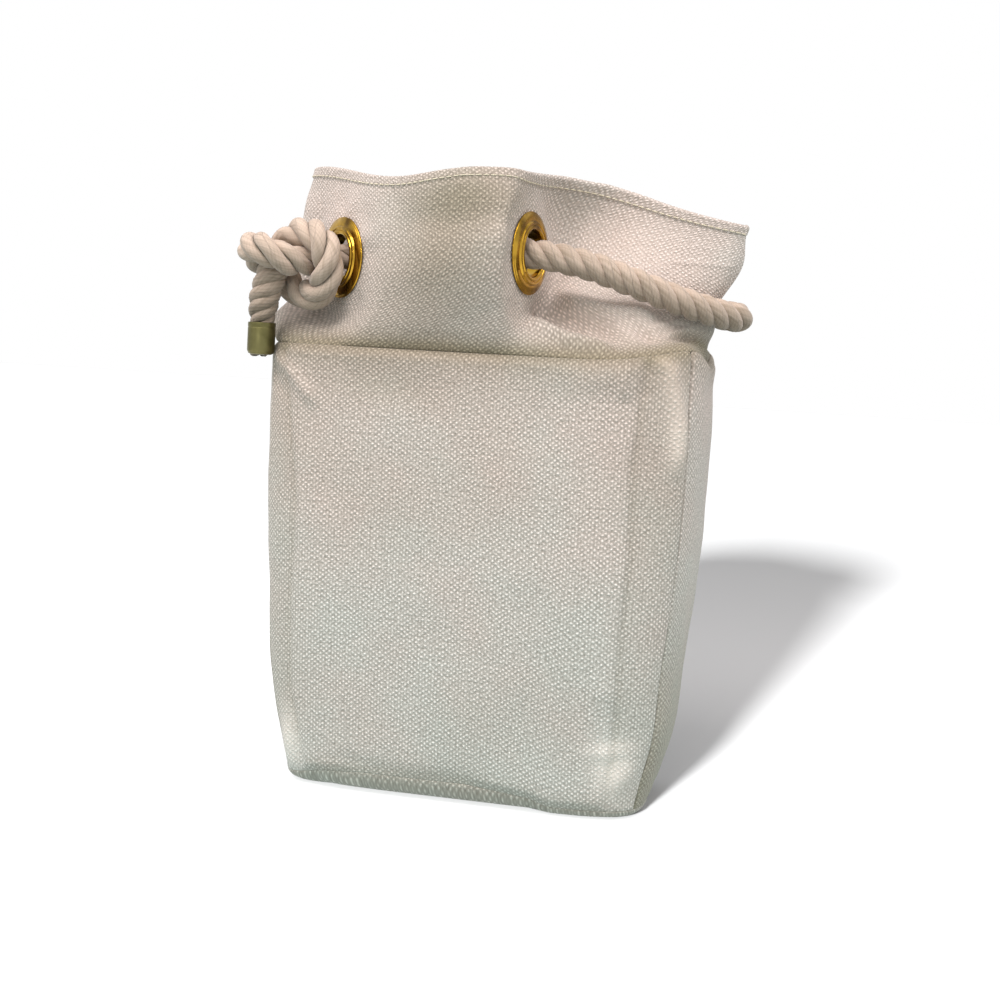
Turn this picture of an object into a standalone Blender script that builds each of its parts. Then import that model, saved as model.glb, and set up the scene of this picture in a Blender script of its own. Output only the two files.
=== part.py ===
"""Canvas straightener bag with a padded lining, brass eyelets and a knotted rope drawstring.

The bag stands on its base. +Z is up, the front faces -Y, and the origin is the centre of the
underside. The tapered body is a front, a back, two gussets and a tray-shaped base, each cut from
canvas, with padded lining panels inside. Above the body seam a loose canvas collar is drawn in by
a rope. The rope runs through four eyelets: a knot outside each left eyelet, a slack run inside
the collar, and one free loop round the right-hand end. Metres throughout.
"""

import math

import bpy
import bmesh
import numpy as np
from mathutils import Matrix, Vector

OBJECT_NAME = "straightener_bag"

# Body: the outer surface of the canvas
BODY_WIDTH = 0.191
BODY_DEPTH = 0.100
BODY_HEIGHT = 0.196
BASE_WIDTH = 0.162
BASE_DEPTH = 0.084
WIDEST_HEIGHT = 0.150
BASE_EDGE_RADIUS = 0.012
CREASE_HEIGHT = 0.010
CREASE_DEPTH = 0.003
SQUARENESS = 5.0
GUSSET_WIDTH = 0.070
EAR_HEIGHT = 0.006
EAR_REACH = 0.024
EAR_FALL = 0.030
TRAY_HEIGHT = 0.0045

# Collar: places in plan are shares of half the body's width and depth, from the right tip to the
# left end along the front. The two tables hold the same landmarks, at the cinch and at the rim.
COLLAR_HEIGHT = 0.077
COLLAR_TIP_DROP = 0.018
COLLAR_DIP = 0.006
COLLAR_DIP_WIDTH = 0.021
DIP_PLACE_SHARE = 0.60
RIM_FALL_SHARES = (0.25, 0.94)
RIM_RISE_SHARES = (0.40, 0.90)
LEFT_EYELET_RISE = 0.038
RIGHT_EYELET_RISE = 0.043
RIGHT_EYELET_SHARES = (0.208, -0.72)
LEFT_EYELET_SHARES = (-0.660, -0.64)
CINCH_PLAN_SHARES = (
    (1.00, 0.0), (0.95, -0.14), (0.83, -0.25), (0.63, -0.30), (0.46, -0.22), (0.345, -0.20),
    (0.28, -0.36), RIGHT_EYELET_SHARES, (0.185, -1.06), (0.06, -1.17), (-0.22, -1.18),
    (-0.42, -1.04), (-0.54, -0.88), LEFT_EYELET_SHARES, (-0.83, -0.45), (-0.96, -0.20),
    (-0.995, 0.0),
)
RIM_PLAN_SHARES = (
    (1.135, 0.0), (1.07, -0.12), (0.93, -0.22), (0.70, -0.26), (0.50, -0.24), (0.38, -0.28),
    (0.31, -0.44), (0.255, -0.70), (0.18, -0.93), (0.04, -1.02), (-0.22, -1.03),
    (-0.43, -0.92), (-0.56, -0.76), (-0.70, -0.56), (-0.82, -0.36), (-0.90, -0.15),
    (-0.915, 0.0),
)

# Cloth, pads and board
CANVAS = 0.0012
PAD = 0.0040
PAD_WIDTH = 0.146
BASE_PAD_WIDTH = 0.118
PAD_SPREAD_SHARE = 0.625
BOARD = 0.0024
FIT = 0.0004
SEAM_GAP = 0.0005
SIDE_SEAM_SHARE = 0.60
WELD = 0.00001

# Brass eyelets: a stem with a domed flange outside, and a washer inside
EYELET_DIAMETER = 0.0350
EYELET_BORE = 0.0196
STEM_WALL = 0.0007
FLANGE_THICKNESS = 0.0009
DOME_HEIGHT = 0.0028
WASHER_DIAMETER = 0.0326
STEM_ROLL = 0.0016
FLAT_RADIUS = 0.026
FLAT_EASE = 0.0175
LEFT_EYELET_TURN = math.radians(-48.0)
RIGHT_EYELET_TURN = math.radians(77.0)

# Rope: soft three-strand cotton, drawn here as a plain tube. It is pinched in a knot.
ROPE = 0.0130
KNOT_ROPE_SHARE = 0.90
KNOT_TIGHTNESS_SHARE = 0.94
STUB_LENGTH = 0.026
LOOP_SLACK = 0.0045
STRAIGHT_SHARES = (0.0, 0.25, 0.5)
LOOP_FALL = math.radians(6.0)
KNOT_TURN = math.radians(-71.4)
CAP_DIAMETER = 0.0120
CAP_LENGTH = 0.0140
CAP_WALL = 0.0005
TAIL_IN_CAP = 0.0100

# The knot's route in rope diameters from the eyelet's centre: outwards along the rope, up, and
# towards the front. It is a real overhand knot: the tail passes behind the first pass and over
# the run that follows the left bight.
KNOT_ROUTE_SHARES = (
    (0.55, 0.00, 0.00), (1.00, -0.14, 0.10), (1.52, -0.26, 0.52), (2.14, -0.18, 0.94),
    (2.80, 0.06, 0.94), (3.26, 0.18, 0.42), (3.34, 0.04, -0.26), (3.02, -0.34, -0.86),
    (2.44, -0.76, -1.08), (1.84, -1.20, -0.84), (1.28, -1.54, -0.24), (0.80, -1.38, 0.44),
    (0.56, -0.76, 0.96), (0.56, -0.02, 1.14), (0.84, 0.54, 0.94), (1.32, 0.78, 0.36),
    (1.80, 0.66, -0.18), (2.14, 0.22, -0.30), (2.38, -0.40, -0.08), (2.60, -1.04, 0.04),
    (2.74, -1.68, -0.08), (2.78, -2.28, -0.16), (2.78, -2.90, -0.16), (2.78, -3.52, -0.16),
)
# The loop's route in rope diameters from the right eyelet's centre: right, back and up.
LOOP_ROUTE_SHARES = (
    (1.00, 0.00, -0.11), (2.20, 0.08, -0.36), (3.40, 0.32, -0.76), (4.50, 0.76, -1.14),
    (5.50, 1.36, -1.44), (6.16, 1.98, -1.60),
)
LOOP_END_FALL_SHARE = 0.05
# The slack run inside: points between the two stubs, as shares of the way across, and in rope
# diameters back and down.
INNER_ROUTE_SHARES = ((0.20, 0.12, 0.16), (0.50, 0.20, 0.42), (0.80, 0.10, 0.20))

# Fineness of the solids
COLLAR_COLUMNS = 44
COLLAR_ROWS = 9
PANEL_ROWS = 9
EDGE_ROWS = 5
CREASE_ROWS = 4
FRONT_COLUMNS = 16
GUSSET_COLUMNS = 9
TRAY_COLUMNS = 40
TRAY_ROW_SHARES = (0.0, 0.10, 0.35, 0.68, 1.0)
LINING_ROWS = 6
LINING_COLUMNS = 9
LINING_SIDE_COLUMNS = 5
SLAB_POINTS = 32
KNOT_POINTS = 70
LOOP_POINTS = 46
INNER_POINTS = 25
DENSE_STEPS = 600
TURNED_STEPS = 24

MATERIALS = {
    "canvas": ((0.80, 0.78, 0.73), 0.90, 0.0),
    "lining": ((0.62, 0.62, 0.60), 0.75, 0.0),
    "board": ((0.45, 0.36, 0.25), 0.80, 0.0),
    "brass": ((0.78, 0.56, 0.20), 0.25, 1.0),
    "rope": ((0.82, 0.75, 0.66), 0.95, 0.0),
    "cap": ((0.52, 0.45, 0.22), 0.35, 1.0),
}


def clear_scene():
    for obj in list(bpy.data.objects):
        bpy.data.objects.remove(obj)


def collection(name):
    made = bpy.data.collections.new(name)
    bpy.context.scene.collection.children.link(made)
    return made


def material(name, finish):
    """Each object's own Principled material, in one of the named finishes."""
    colour, roughness, metallic = MATERIALS[finish]
    made = bpy.data.materials.new(name)
    made.use_nodes = True
    shader = made.node_tree.nodes["Principled BSDF"]
    shader.inputs["Base Color"].default_value = (*colour, 1.0)
    shader.inputs["Roughness"].default_value = roughness
    shader.inputs["Metallic"].default_value = metallic
    return made


def add(name, data, finish, home):
    obj = bpy.data.objects.new(name, data)
    obj.data.materials.append(material(name, finish))
    home.objects.link(obj)
    return obj


def smooth_shade(obj, angle=math.radians(40)):
    obj.data.shade_smooth()
    obj.data.set_sharp_from_angle(angle=angle)


def ease(share):
    """A smooth step from 0 to 1."""
    share = np.clip(share, 0.0, 1.0)
    return share * share * (3.0 - 2.0 * share)


# Sections of the bag in plan


def resampled(curve, shares):
    """Points of a polyline at the given shares of its length."""
    steps = np.linalg.norm(np.diff(curve, axis=0), axis=1)
    along = np.concatenate(([0.0], np.cumsum(steps))) / steps.sum()
    return np.stack([np.interp(shares, along, curve[:, i]) for i in range(curve.shape[1])], 1)


def splined(points, steps):
    """A Catmull-Rom curve through the points, with its ends kept."""
    points = np.asarray(points, float)
    ends = (2 * points[:1] - points[1:2], points, 2 * points[-1:] - points[-2:-1])
    knots = np.concatenate(ends)
    at = np.linspace(0.0, len(points) - 1, steps)
    first = np.minimum(at.astype(int), len(points) - 2)
    t = (at - first)[:, None]
    p0, p1, p2, p3 = (knots[first + i] for i in range(4))
    return p1 + t * (
        (p2 - p0) + t * ((2 * p0 - 5 * p1 + 4 * p2 - p3) + t * (3 * (p1 - p2) + p3 - p0))
    ) / 2


def half_size(height):
    """Half the width and depth of the body's canvas at a height, edges and crease included."""
    grown = math.sin(min(height / WIDEST_HEIGHT, 1.0) * math.pi / 2)
    wide = (BASE_WIDTH + (BODY_WIDTH - BASE_WIDTH) * grown) / 2
    deep = (BASE_DEPTH + (BODY_DEPTH - BASE_DEPTH) * grown) / 2
    inset = 0.0
    if height < BASE_EDGE_RADIUS:
        rise = BASE_EDGE_RADIUS - height
        inset = BASE_EDGE_RADIUS - math.sqrt(BASE_EDGE_RADIUS**2 - rise**2)
    above = (height - (BODY_HEIGHT - CREASE_HEIGHT)) / CREASE_HEIGHT
    if above > 0:
        inset = CREASE_DEPTH * (1 - math.sqrt(max(0.0, 1 - min(above, 1.0) ** 2)))
    return wide - inset, deep - inset


def superellipse(wide, deep, angles):
    """Plan points of a rounded rectangle at polar angles, counted from +X towards +Y."""
    across, along = np.cos(angles), np.sin(angles)
    reach = (np.abs(across / wide) ** SQUARENESS + np.abs(along / deep) ** SQUARENESS) ** (
        -1 / SQUARENESS
    )
    return np.stack([reach * across, reach * along], 1)


def seam_angle(wide, deep, half_gusset):
    """The polar angle at which the outline is half a gusset away from the middle plane."""
    angles = np.linspace(0.0, math.pi / 2, DENSE_STEPS)
    away = superellipse(wide, deep, angles)[:, 1]
    return float(np.interp(half_gusset, away, angles))


def outline_part(wide, deep, start, end, columns, gap):
    """Points along the outline between two polar angles, closer together towards each end."""
    curve = superellipse(wide, deep, np.linspace(start, end, DENSE_STEPS))
    length = np.linalg.norm(np.diff(curve, axis=0), axis=1).sum()
    spread = (1 - np.cos(np.linspace(0.0, math.pi, columns))) / 2
    return resampled(curve, gap / length + (1 - 2 * gap / length) * spread)


def gusset_half(height):
    """Half the distance between the front and back corner seams, narrower towards the base."""
    return GUSSET_WIDTH / 2 * half_size(height)[1] / (BODY_DEPTH / 2)


# Meshes


def loft(name, rows, finish, home, closed=False):
    """A surface through rows of points, each row a section of the piece."""
    mesh = bmesh.new()
    made = [[mesh.verts.new(point) for point in row] for row in rows]
    for lower, upper in zip(made, made[1:]):
        count = len(lower)
        for i in range(count if closed else count - 1):
            j = (i + 1) % count
            mesh.faces.new((lower[i], lower[j], upper[j], upper[i]))
    data = bpy.data.meshes.new(name)
    mesh.to_mesh(data)
    mesh.free()
    return add(name, data, finish, home)


def thicken(obj, thickness):
    """Gives a surface a wall on its inner side."""
    wall = obj.modifiers.new("wall", "SOLIDIFY")
    wall.thickness = thickness
    wall.offset = -1.0
    wall.use_even_offset = True
    return obj


def frame_at(centre, axis, up=Vector((0.0, 0.0, 1.0))):
    """A matrix whose Z is the axis and whose Y is as near up as it can be."""
    z = Vector(axis).normalized()
    x = up.cross(z).normalized()
    y = z.cross(x)
    turned = Matrix((x, y, z)).transposed().to_4x4()
    return Matrix.Translation(Vector(centre)) @ turned


def turned(name, profile, finish, home, matrix):
    """A profile at +X, in radius and height, turned about its Z axis."""
    mesh = bmesh.new()
    points = [mesh.verts.new((radius, 0.0, height)) for radius, height in profile]
    for first, second in zip(points, points[1:]):
        mesh.edges.new((first, second))
    data = bpy.data.meshes.new(name)
    mesh.to_mesh(data)
    mesh.free()
    obj = add(name, data, finish, home)
    screw = obj.modifiers.new("turn", "SCREW")
    screw.steps = TURNED_STEPS
    screw.render_steps = TURNED_STEPS
    screw.use_merge_vertices = True
    screw.merge_threshold = WELD
    screw.use_smooth_shade = True
    obj.matrix_world = matrix
    return obj


def tube(name, points, home, radii=None, finish="rope"):
    """A plain round tube along the points, with closed ends."""
    data = bpy.data.curves.new(name, "CURVE")
    data.dimensions = "3D"
    data.bevel_depth = ROPE / 2
    data.bevel_resolution = 2
    data.use_fill_caps = True
    data.twist_mode = "MINIMUM"
    line = data.splines.new("POLY")
    line.points.add(len(points) - 1)
    for i, point in enumerate(points):
        line.points[i].co = (*point, 1.0)
        line.points[i].radius = 1.0 if radii is None else radii[i]
    return add(name, data, finish, home)


# Body panels


def panel_rows(start_of, end_of, heights, columns, inset=0.0, gap=SEAM_GAP / 2):
    rows = []
    for height in heights:
        wide, deep = half_size(height)
        wide, deep = wide - inset, deep - inset
        start, end = start_of(height, inset), end_of(height, inset)
        plan = outline_part(wide, deep, start, end, columns, gap)
        rows.append(np.column_stack([plan, np.full(columns, height)]))
    return np.array(rows)


def corner_angle(height, inset):
    """The polar angle of the right rear corner seam."""
    wide, deep = half_size(height)
    half = gusset_half(height) * (deep - inset) / deep
    return seam_angle(wide - inset, deep - inset, half)


def raise_ears(rows, share):
    """Lifts the right corners of the body seam, each of which stands up in an ear."""
    across = rows[:, :, 0] - (BODY_WIDTH / 2 - CREASE_DEPTH)
    along = np.abs(rows[:, :, 1]) - GUSSET_WIDTH / 2
    near = np.hypot(across, along) / EAR_REACH
    rows[:, :, 2] += EAR_HEIGHT * share * np.exp(-near * near)


def body_panels(home):
    heights = np.concatenate([
        np.linspace(TRAY_HEIGHT, BASE_EDGE_RADIUS, EDGE_ROWS)[:-1],
        np.linspace(BASE_EDGE_RADIUS, BODY_HEIGHT - CREASE_HEIGHT, PANEL_ROWS)[:-1],
        np.linspace(BODY_HEIGHT - CREASE_HEIGHT, BODY_HEIGHT - SEAM_GAP / 2, CREASE_ROWS),
    ])
    heights[0] += SEAM_GAP / 2
    turn = math.pi
    spans = {
        "right_gusset": (lambda h, i: -corner_angle(h, i), corner_angle, GUSSET_COLUMNS),
        "back_panel": (corner_angle, lambda h, i: turn - corner_angle(h, i), FRONT_COLUMNS),
        "left_gusset": (
            lambda h, i: turn - corner_angle(h, i), lambda h, i: turn + corner_angle(h, i),
            GUSSET_COLUMNS,
        ),
        "front_panel": (
            lambda h, i: turn + corner_angle(h, i), lambda h, i: 2 * turn - corner_angle(h, i),
            FRONT_COLUMNS,
        ),
    }
    for name, (start, end, columns) in spans.items():
        rows = panel_rows(start, end, heights, columns)
        raise_ears(rows, ease((rows[:, :, 2] - BODY_HEIGHT + EAR_FALL) / EAR_FALL))
        smooth_shade(thicken(loft(name, rows, "canvas", home), CANVAS))


def closed_ring(wide, deep, height, columns):
    curve = superellipse(wide, deep, np.linspace(0.0, 2 * math.pi, DENSE_STEPS))
    plan = resampled(curve, np.linspace(0.0, 1.0, columns + 1))[:-1]
    return np.column_stack([plan, np.full(columns, height)])


def base_tray(home):
    """The base panel: flat underneath, its rim turned up to the side panels' lower seam."""
    rows = []
    for share in TRAY_ROW_SHARES:
        height = share * (TRAY_HEIGHT - SEAM_GAP / 2)
        wide, deep = half_size(height)
        rows.append(closed_ring(wide, deep, height, TRAY_COLUMNS))
    tray = loft("base_panel", rows, "canvas", home, closed=True)
    mesh = bmesh.new()
    mesh.from_mesh(tray.data)
    low = [edge for edge in mesh.edges if all(abs(v.co.z) < WELD for v in edge.verts)]
    bmesh.ops.contextual_create(mesh, geom=low)
    bmesh.ops.recalc_face_normals(mesh, faces=mesh.faces)
    bottom = min(mesh.faces, key=lambda face: face.calc_center_median().z)
    if bottom.normal.z > 0:
        bmesh.ops.reverse_faces(mesh, faces=mesh.faces)
    mesh.to_mesh(tray.data)
    mesh.free()
    smooth_shade(thicken(tray, CANVAS))


def slab(name, wide, deep, low, thickness, finish, home):
    """A flat plate with the body's rounded outline."""
    data = bpy.data.curves.new(name, "CURVE")
    data.dimensions = "2D"
    data.fill_mode = "BOTH"
    data.extrude = thickness / 2
    outline = closed_ring(wide, deep, 0.0, SLAB_POINTS)
    line = data.splines.new("POLY")
    line.points.add(len(outline) - 1)
    for i, point in enumerate(outline):
        line.points[i].co = (*point, 1.0)
    line.use_cyclic_u = True
    obj = add(name, data, finish, home)
    obj.location.z = low + thickness / 2
    return obj


def lining(home):
    """The base board, the base pad and four padded walls."""
    board_low = CANVAS + FIT
    wide, deep = half_size(0.0)
    slab("base_board", wide, deep, board_low, BOARD, "board", home)
    pad_low = board_low + BOARD + FIT
    wide, deep = half_size(pad_low)
    leaning_wall = 2 * CANVAS + FIT
    slab("base_pad", wide - leaning_wall, deep - leaning_wall, pad_low, PAD, "lining", home)
    inset = CANVAS + FIT
    wall_low = pad_low + PAD + FIT
    heights = np.linspace(wall_low, BODY_HEIGHT - CREASE_HEIGHT / 2, LINING_ROWS)
    turn = math.pi

    def pad_angle(height, gap_inset):
        wide, deep = half_size(height)
        share = (height - wall_low) / (BODY_HEIGHT - wall_low)
        spread = ease(share / PAD_SPREAD_SHARE)
        half = (BASE_PAD_WIDTH + (PAD_WIDTH - BASE_PAD_WIDTH) * spread) / 2
        angles = np.linspace(math.pi / 2, 0.0, DENSE_STEPS)
        across = superellipse(wide - gap_inset, deep - gap_inset, angles)[:, 0]
        return float(np.interp(half, across, angles))

    walls = {
        "lining_right": (
            lambda h, i: -corner_angle(h, i), corner_angle, LINING_SIDE_COLUMNS,
        ),
        "lining_back": (pad_angle, lambda h, i: turn - pad_angle(h, i), LINING_COLUMNS),
        "lining_left": (
            lambda h, i: turn - corner_angle(h, i), lambda h, i: turn + corner_angle(h, i),
            LINING_SIDE_COLUMNS,
        ),
        "lining_front": (
            lambda h, i: turn + pad_angle(h, i), lambda h, i: 2 * turn - pad_angle(h, i),
            LINING_COLUMNS,
        ),
    }
    for name, (start, end, columns) in walls.items():
        rows = panel_rows(start, end, heights, columns, inset, PAD / 2)
        smooth_shade(thicken(loft(name, rows, "lining", home), PAD))


# Collar and eyelets


def plan_point(shares):
    return np.array(shares) * np.array([BODY_WIDTH / 2, BODY_DEPTH / 2])


def eyelet_places():
    """Each eyelet's centre and outward axis; the rear pair mirrors the front pair."""
    places = {}
    for side, shares, rise, turn in (
        ("left", LEFT_EYELET_SHARES, LEFT_EYELET_RISE, LEFT_EYELET_TURN),
        ("right", RIGHT_EYELET_SHARES, RIGHT_EYELET_RISE, RIGHT_EYELET_TURN),
    ):
        x, y = plan_point(shares)
        height = BODY_HEIGHT + rise
        axis = Vector((math.sin(turn), -math.cos(turn), 0.0))
        places["front_" + side] = (Vector((x, y, height)), axis)
        rear = Vector((axis.x, -axis.y, 0.0))
        places["back_" + side] = (Vector((x, -y, height)), rear)
    return places


def rim_height(x):
    """The rim's height over a plan place: level at the left, dipped, and falling to the tip."""
    start, end = RIM_FALL_SHARES
    tip = plan_point(RIM_PLAN_SHARES[0])[0]
    fall = COLLAR_TIP_DROP * ease((x / tip - start) / (end - start))
    dip_at = plan_point(LEFT_EYELET_SHARES)[0] * DIP_PLACE_SHARE
    dip = COLLAR_DIP * np.exp(-(((x - dip_at) / COLLAR_DIP_WIDTH) ** 2))
    start, end = RIM_RISE_SHARES
    left = COLLAR_DIP / 2 * ease((-x / (BODY_WIDTH / 2) - start) / (end - start))
    return BODY_HEIGHT + COLLAR_HEIGHT - fall - dip + left


def flattened(points, places, side):
    """Lays the cloth flat under each eyelet, easing back to its own shape round the flange."""
    for name, (centre, axis) in places.items():
        if not name.startswith(side):
            continue
        away = (points - np.array(centre)) @ np.array(axis)
        flat = points - away[..., None] * np.array(axis)
        radius = np.linalg.norm(points - np.array(centre), axis=-1)
        hold = 1.0 - ease((radius - FLAT_RADIUS) / FLAT_EASE)
        points = points + hold[..., None] * (flat - points)
    return points


def collar_rows(places):
    """The front half of the collar, from its seam up to its rim, running right to left."""
    shares = np.linspace(0.0, 1.0, COLLAR_COLUMNS)
    wide, deep = half_size(BODY_HEIGHT)
    half_ring = superellipse(wide, deep, np.linspace(0.0, -math.pi, DENSE_STEPS))
    seam = resampled(half_ring, shares)
    cinch = resampled(splined([plan_point(p) for p in CINCH_PLAN_SHARES], DENSE_STEPS), shares)
    rim = resampled(splined([plan_point(p) for p in RIM_PLAN_SHARES], DENSE_STEPS), shares)
    side_seam = SIDE_SEAM_SHARE * CANVAS + SEAM_GAP / 2
    for plan in (seam, cinch, rim):
        plan[:, 1] = np.minimum(plan[:, 1], -side_seam)
    rows = []
    for up in np.linspace(0.0, 1.0, COLLAR_ROWS):
        # The parabola through the seam, the cinch half way up and the rim
        plan = seam + up * (4 * cinch - 3 * seam - rim) + 2 * up * up * (seam - 2 * cinch + rim)
        low = BODY_HEIGHT + SEAM_GAP / 2
        height = low + up * (rim_height(rim[:, 0]) - low)
        rows.append(np.column_stack([plan, height]))
    rows = np.array(rows)
    raise_ears(rows, 1.0 - ease((rows[:, :, 2] - BODY_HEIGHT) / (COLLAR_HEIGHT / 2)))
    moved = flattened(rows, places, "front")
    moved[0] = rows[0]
    return moved


def hole_cutter(name, centre, axis, radius, length, home):
    data = bpy.data.meshes.new(name)
    mesh = bmesh.new()
    bmesh.ops.create_cone(
        mesh, cap_ends=True, segments=TURNED_STEPS, radius1=radius, radius2=radius, depth=length
    )
    mesh.to_mesh(data)
    mesh.free()
    cutter = bpy.data.objects.new(name, data)
    cutter.matrix_world = frame_at(centre, axis)
    cutter.hide_render = True
    cutter.display_type = "WIRE"
    home.objects.link(cutter)
    return cutter


def collar(home, cutters, places):
    front = collar_rows(places)
    back = front * np.array([1.0, -1.0, 1.0])
    hole = EYELET_BORE / 2 + STEM_WALL + FIT
    for side, rows in (("front", front[:, ::-1]), ("back", back)):
        piece = thicken(loft("collar_" + side, rows, "canvas", home), CANVAS)
        for name, (centre, axis) in places.items():
            if not name.startswith(side):
                continue
            cutter = hole_cutter("hole_" + name, centre, axis, hole, EYELET_BORE, cutters)
            cut = piece.modifiers.new("hole", "BOOLEAN")
            cut.object = cutter
            cut.operation = "DIFFERENCE"
            cut.solver = "EXACT"
        smooth_shade(piece)


def eyelet(name, place, home):
    """A stem with its rolled rim and domed flange outside, and a washer behind the cloth."""
    centre, axis = place
    matrix = frame_at(centre, axis)
    bore = EYELET_BORE / 2
    outer = bore + STEM_WALL
    flange = EYELET_DIAMETER / 2
    seat = FIT
    back = -(CANVAS + 2 * FIT + FLANGE_THICKNESS + FIT)
    dome = seat + DOME_HEIGHT
    step = (flange - outer) / 4
    stem = [
        (flange, seat + FLANGE_THICKNESS / 2),
        (flange - FLANGE_THICKNESS / 2, seat),
        (outer + step, seat),
        (outer, seat),
        (outer, back),
        (outer + STEM_ROLL, back),
        (outer + STEM_ROLL, back - STEM_WALL),
        (bore, back - STEM_WALL),
        (bore, dome - STEM_WALL),
        (bore + STEM_WALL, dome),
        (bore + step, dome - STEM_WALL / 2),
        (bore + 2 * step, dome - STEM_WALL),
        (flange - step, seat + 2 * FLANGE_THICKNESS),
        (flange - step / 3, seat + FLANGE_THICKNESS),
        (flange, seat + FLANGE_THICKNESS / 2),
    ]
    turned("eyelet_" + name, stem, "brass", home, matrix)
    ring = WASHER_DIAMETER / 2
    top = -CANVAS - FIT
    bottom = top - FLANGE_THICKNESS
    hole = outer + FIT
    washer = [(hole, top), (ring, top), (ring, bottom), (hole, bottom), (hole, top)]
    turned("washer_" + name, washer, "brass", home, matrix)


# Rope


def least_gap(points, radius, apart):
    """The least clear distance between parts of a tube that lie further apart along it."""
    points = np.asarray(points)
    steps = np.linalg.norm(np.diff(points, axis=0), axis=1)
    along = np.concatenate(([0.0], np.cumsum(steps)))
    away = np.linalg.norm(points[:, None] - points[None], axis=2)
    far = np.abs(along[:, None] - along[None]) > apart
    return float(away[far].min() - 2 * radius)


def knot_axis():
    """The level direction in which the rope leaves the front left eyelet."""
    return Vector((math.sin(KNOT_TURN), -math.cos(KNOT_TURN), 0.0))


def knot_route(centre):
    """The rope's points from its stub inside the collar, through the eyelet, to the tail."""
    out = knot_axis()
    up = Vector((0.0, 0.0, 1.0))
    front = up.cross(out)
    turn_size = ROPE * KNOT_TIGHTNESS_SHARE
    points = [centre - out * STUB_LENGTH, centre - out * (STUB_LENGTH / 2), centre]
    for along, high, near in KNOT_ROUTE_SHARES:
        points.append(centre + turn_size * (along * out + high * up + near * front))
    return points


def loop_axis():
    return Vector((math.cos(LOOP_FALL), 0.0, -math.sin(LOOP_FALL)))


def mirrored(points):
    return [Vector((p[0], -p[1], p[2])) for p in points]


def rope_knots(home, places):
    centre = places["front_left"][0]
    route = knot_route(centre)
    points = splined(route, KNOT_POINTS)
    tail = Vector(points[-1])
    along = np.concatenate(([0.0], np.cumsum(np.linalg.norm(np.diff(points, axis=0), axis=1))))
    left = along[-1] - along
    neck = (CAP_DIAMETER / 2 - CAP_WALL - FIT) / (ROPE / 2)
    taper = ease((left - TAIL_IN_CAP) / ROPE)
    radii = neck + (KNOT_ROPE_SHARE - neck) * taper
    gap = least_gap(points, ROPE * KNOT_ROPE_SHARE / 2, 2 * ROPE)
    print("knot, least gap to itself in mm:", round(1000 * gap, 2))
    down = (Vector(points[-2]) - tail).normalized()
    cap_radius = CAP_DIAMETER / 2
    floor = -FIT - CAP_WALL
    inner = cap_radius - CAP_WALL
    profile = [
        (0.0, floor), (cap_radius - CAP_WALL, floor), (cap_radius, floor + CAP_WALL),
        (cap_radius, floor + CAP_LENGTH), (inner, floor + CAP_LENGTH), (inner, -FIT), (0.0, -FIT),
    ]
    for side, flip in (("front", 1.0), ("back", -1.0)):
        turn = np.array([1.0, flip, 1.0])
        tube("rope_knot_" + side, points * turn, home, radii)
        end = Vector(np.array(tail) * turn)
        axis = Vector(np.array(down) * turn)
        matrix = frame_at(end, axis, Vector((0.0, 1.0, 0.0)))
        turned("rope_cap_" + side, profile[::-1], "cap", home, matrix)
    return Vector(points[0])


def rope_loop(home, places):
    centre = places["front_right"][0]
    out = loop_axis()
    route = [centre - out * STUB_LENGTH, centre - out * (STUB_LENGTH / 2), centre]
    for right, back, up in LOOP_ROUTE_SHARES:
        route.append(centre + ROPE * Vector((right, back, up)))
    front = route[0]
    turn_x = plan_point(CINCH_PLAN_SHARES[0])[0] + ROPE / 2 + LOOP_SLACK
    last = Vector((turn_x, 0.0, route[-1].z - ROPE * LOOP_END_FALL_SHARE))
    route = route + [last] + mirrored(route[::-1])
    tube("rope_loop", splined(route, LOOP_POINTS), home)
    return front


def rope_inner(home, knot_end, loop_end, out_left, out_right):
    """The slack runs inside the collar, from each knot's stub to the loop's stub."""
    start = knot_end - out_left * FIT
    end = loop_end - out_right * FIT
    route = [start - out_left * (ROPE * share) for share in STRAIGHT_SHARES]
    leaving = [end - out_right * (ROPE * share) for share in STRAIGHT_SHARES[::-1]]
    first, last = route[-1], leaving[0]
    for share, back, down in INNER_ROUTE_SHARES:
        sag = Vector((0.0, back * ROPE, -down * ROPE))
        route.append(first.lerp(last, share) + sag)
    points = splined(route + leaving, INNER_POINTS)
    for side, flip in (("front", 1.0), ("back", -1.0)):
        tube("rope_inner_" + side, points * np.array([1.0, flip, 1.0]), home)


def main():
    clear_scene()
    home = collection(OBJECT_NAME)
    cutters = collection("cutters")
    places = eyelet_places()
    body_panels(home)
    base_tray(home)
    lining(home)
    collar(home, cutters, places)
    for name, place in places.items():
        eyelet(name, place, home)
    knot_end = rope_knots(home, places)
    loop_end = rope_loop(home, places)
    rope_inner(home, knot_end, loop_end, knot_axis(), loop_axis())


main()
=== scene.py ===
# %% [markdown]
# # A canvas drawstring bag, dressed around its construction model
#
# The construction model gives the real sizes and the bodies that move. This script gives the
# looks: coarse white canvas, padded edges that print through it, a three-strand cotton rope and
# polished brass eyelets. Everything is in metres, +Z is up, and the front faces -Y.

import math

import bpy
import numpy as np
from mathutils import Matrix, Vector


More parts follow.
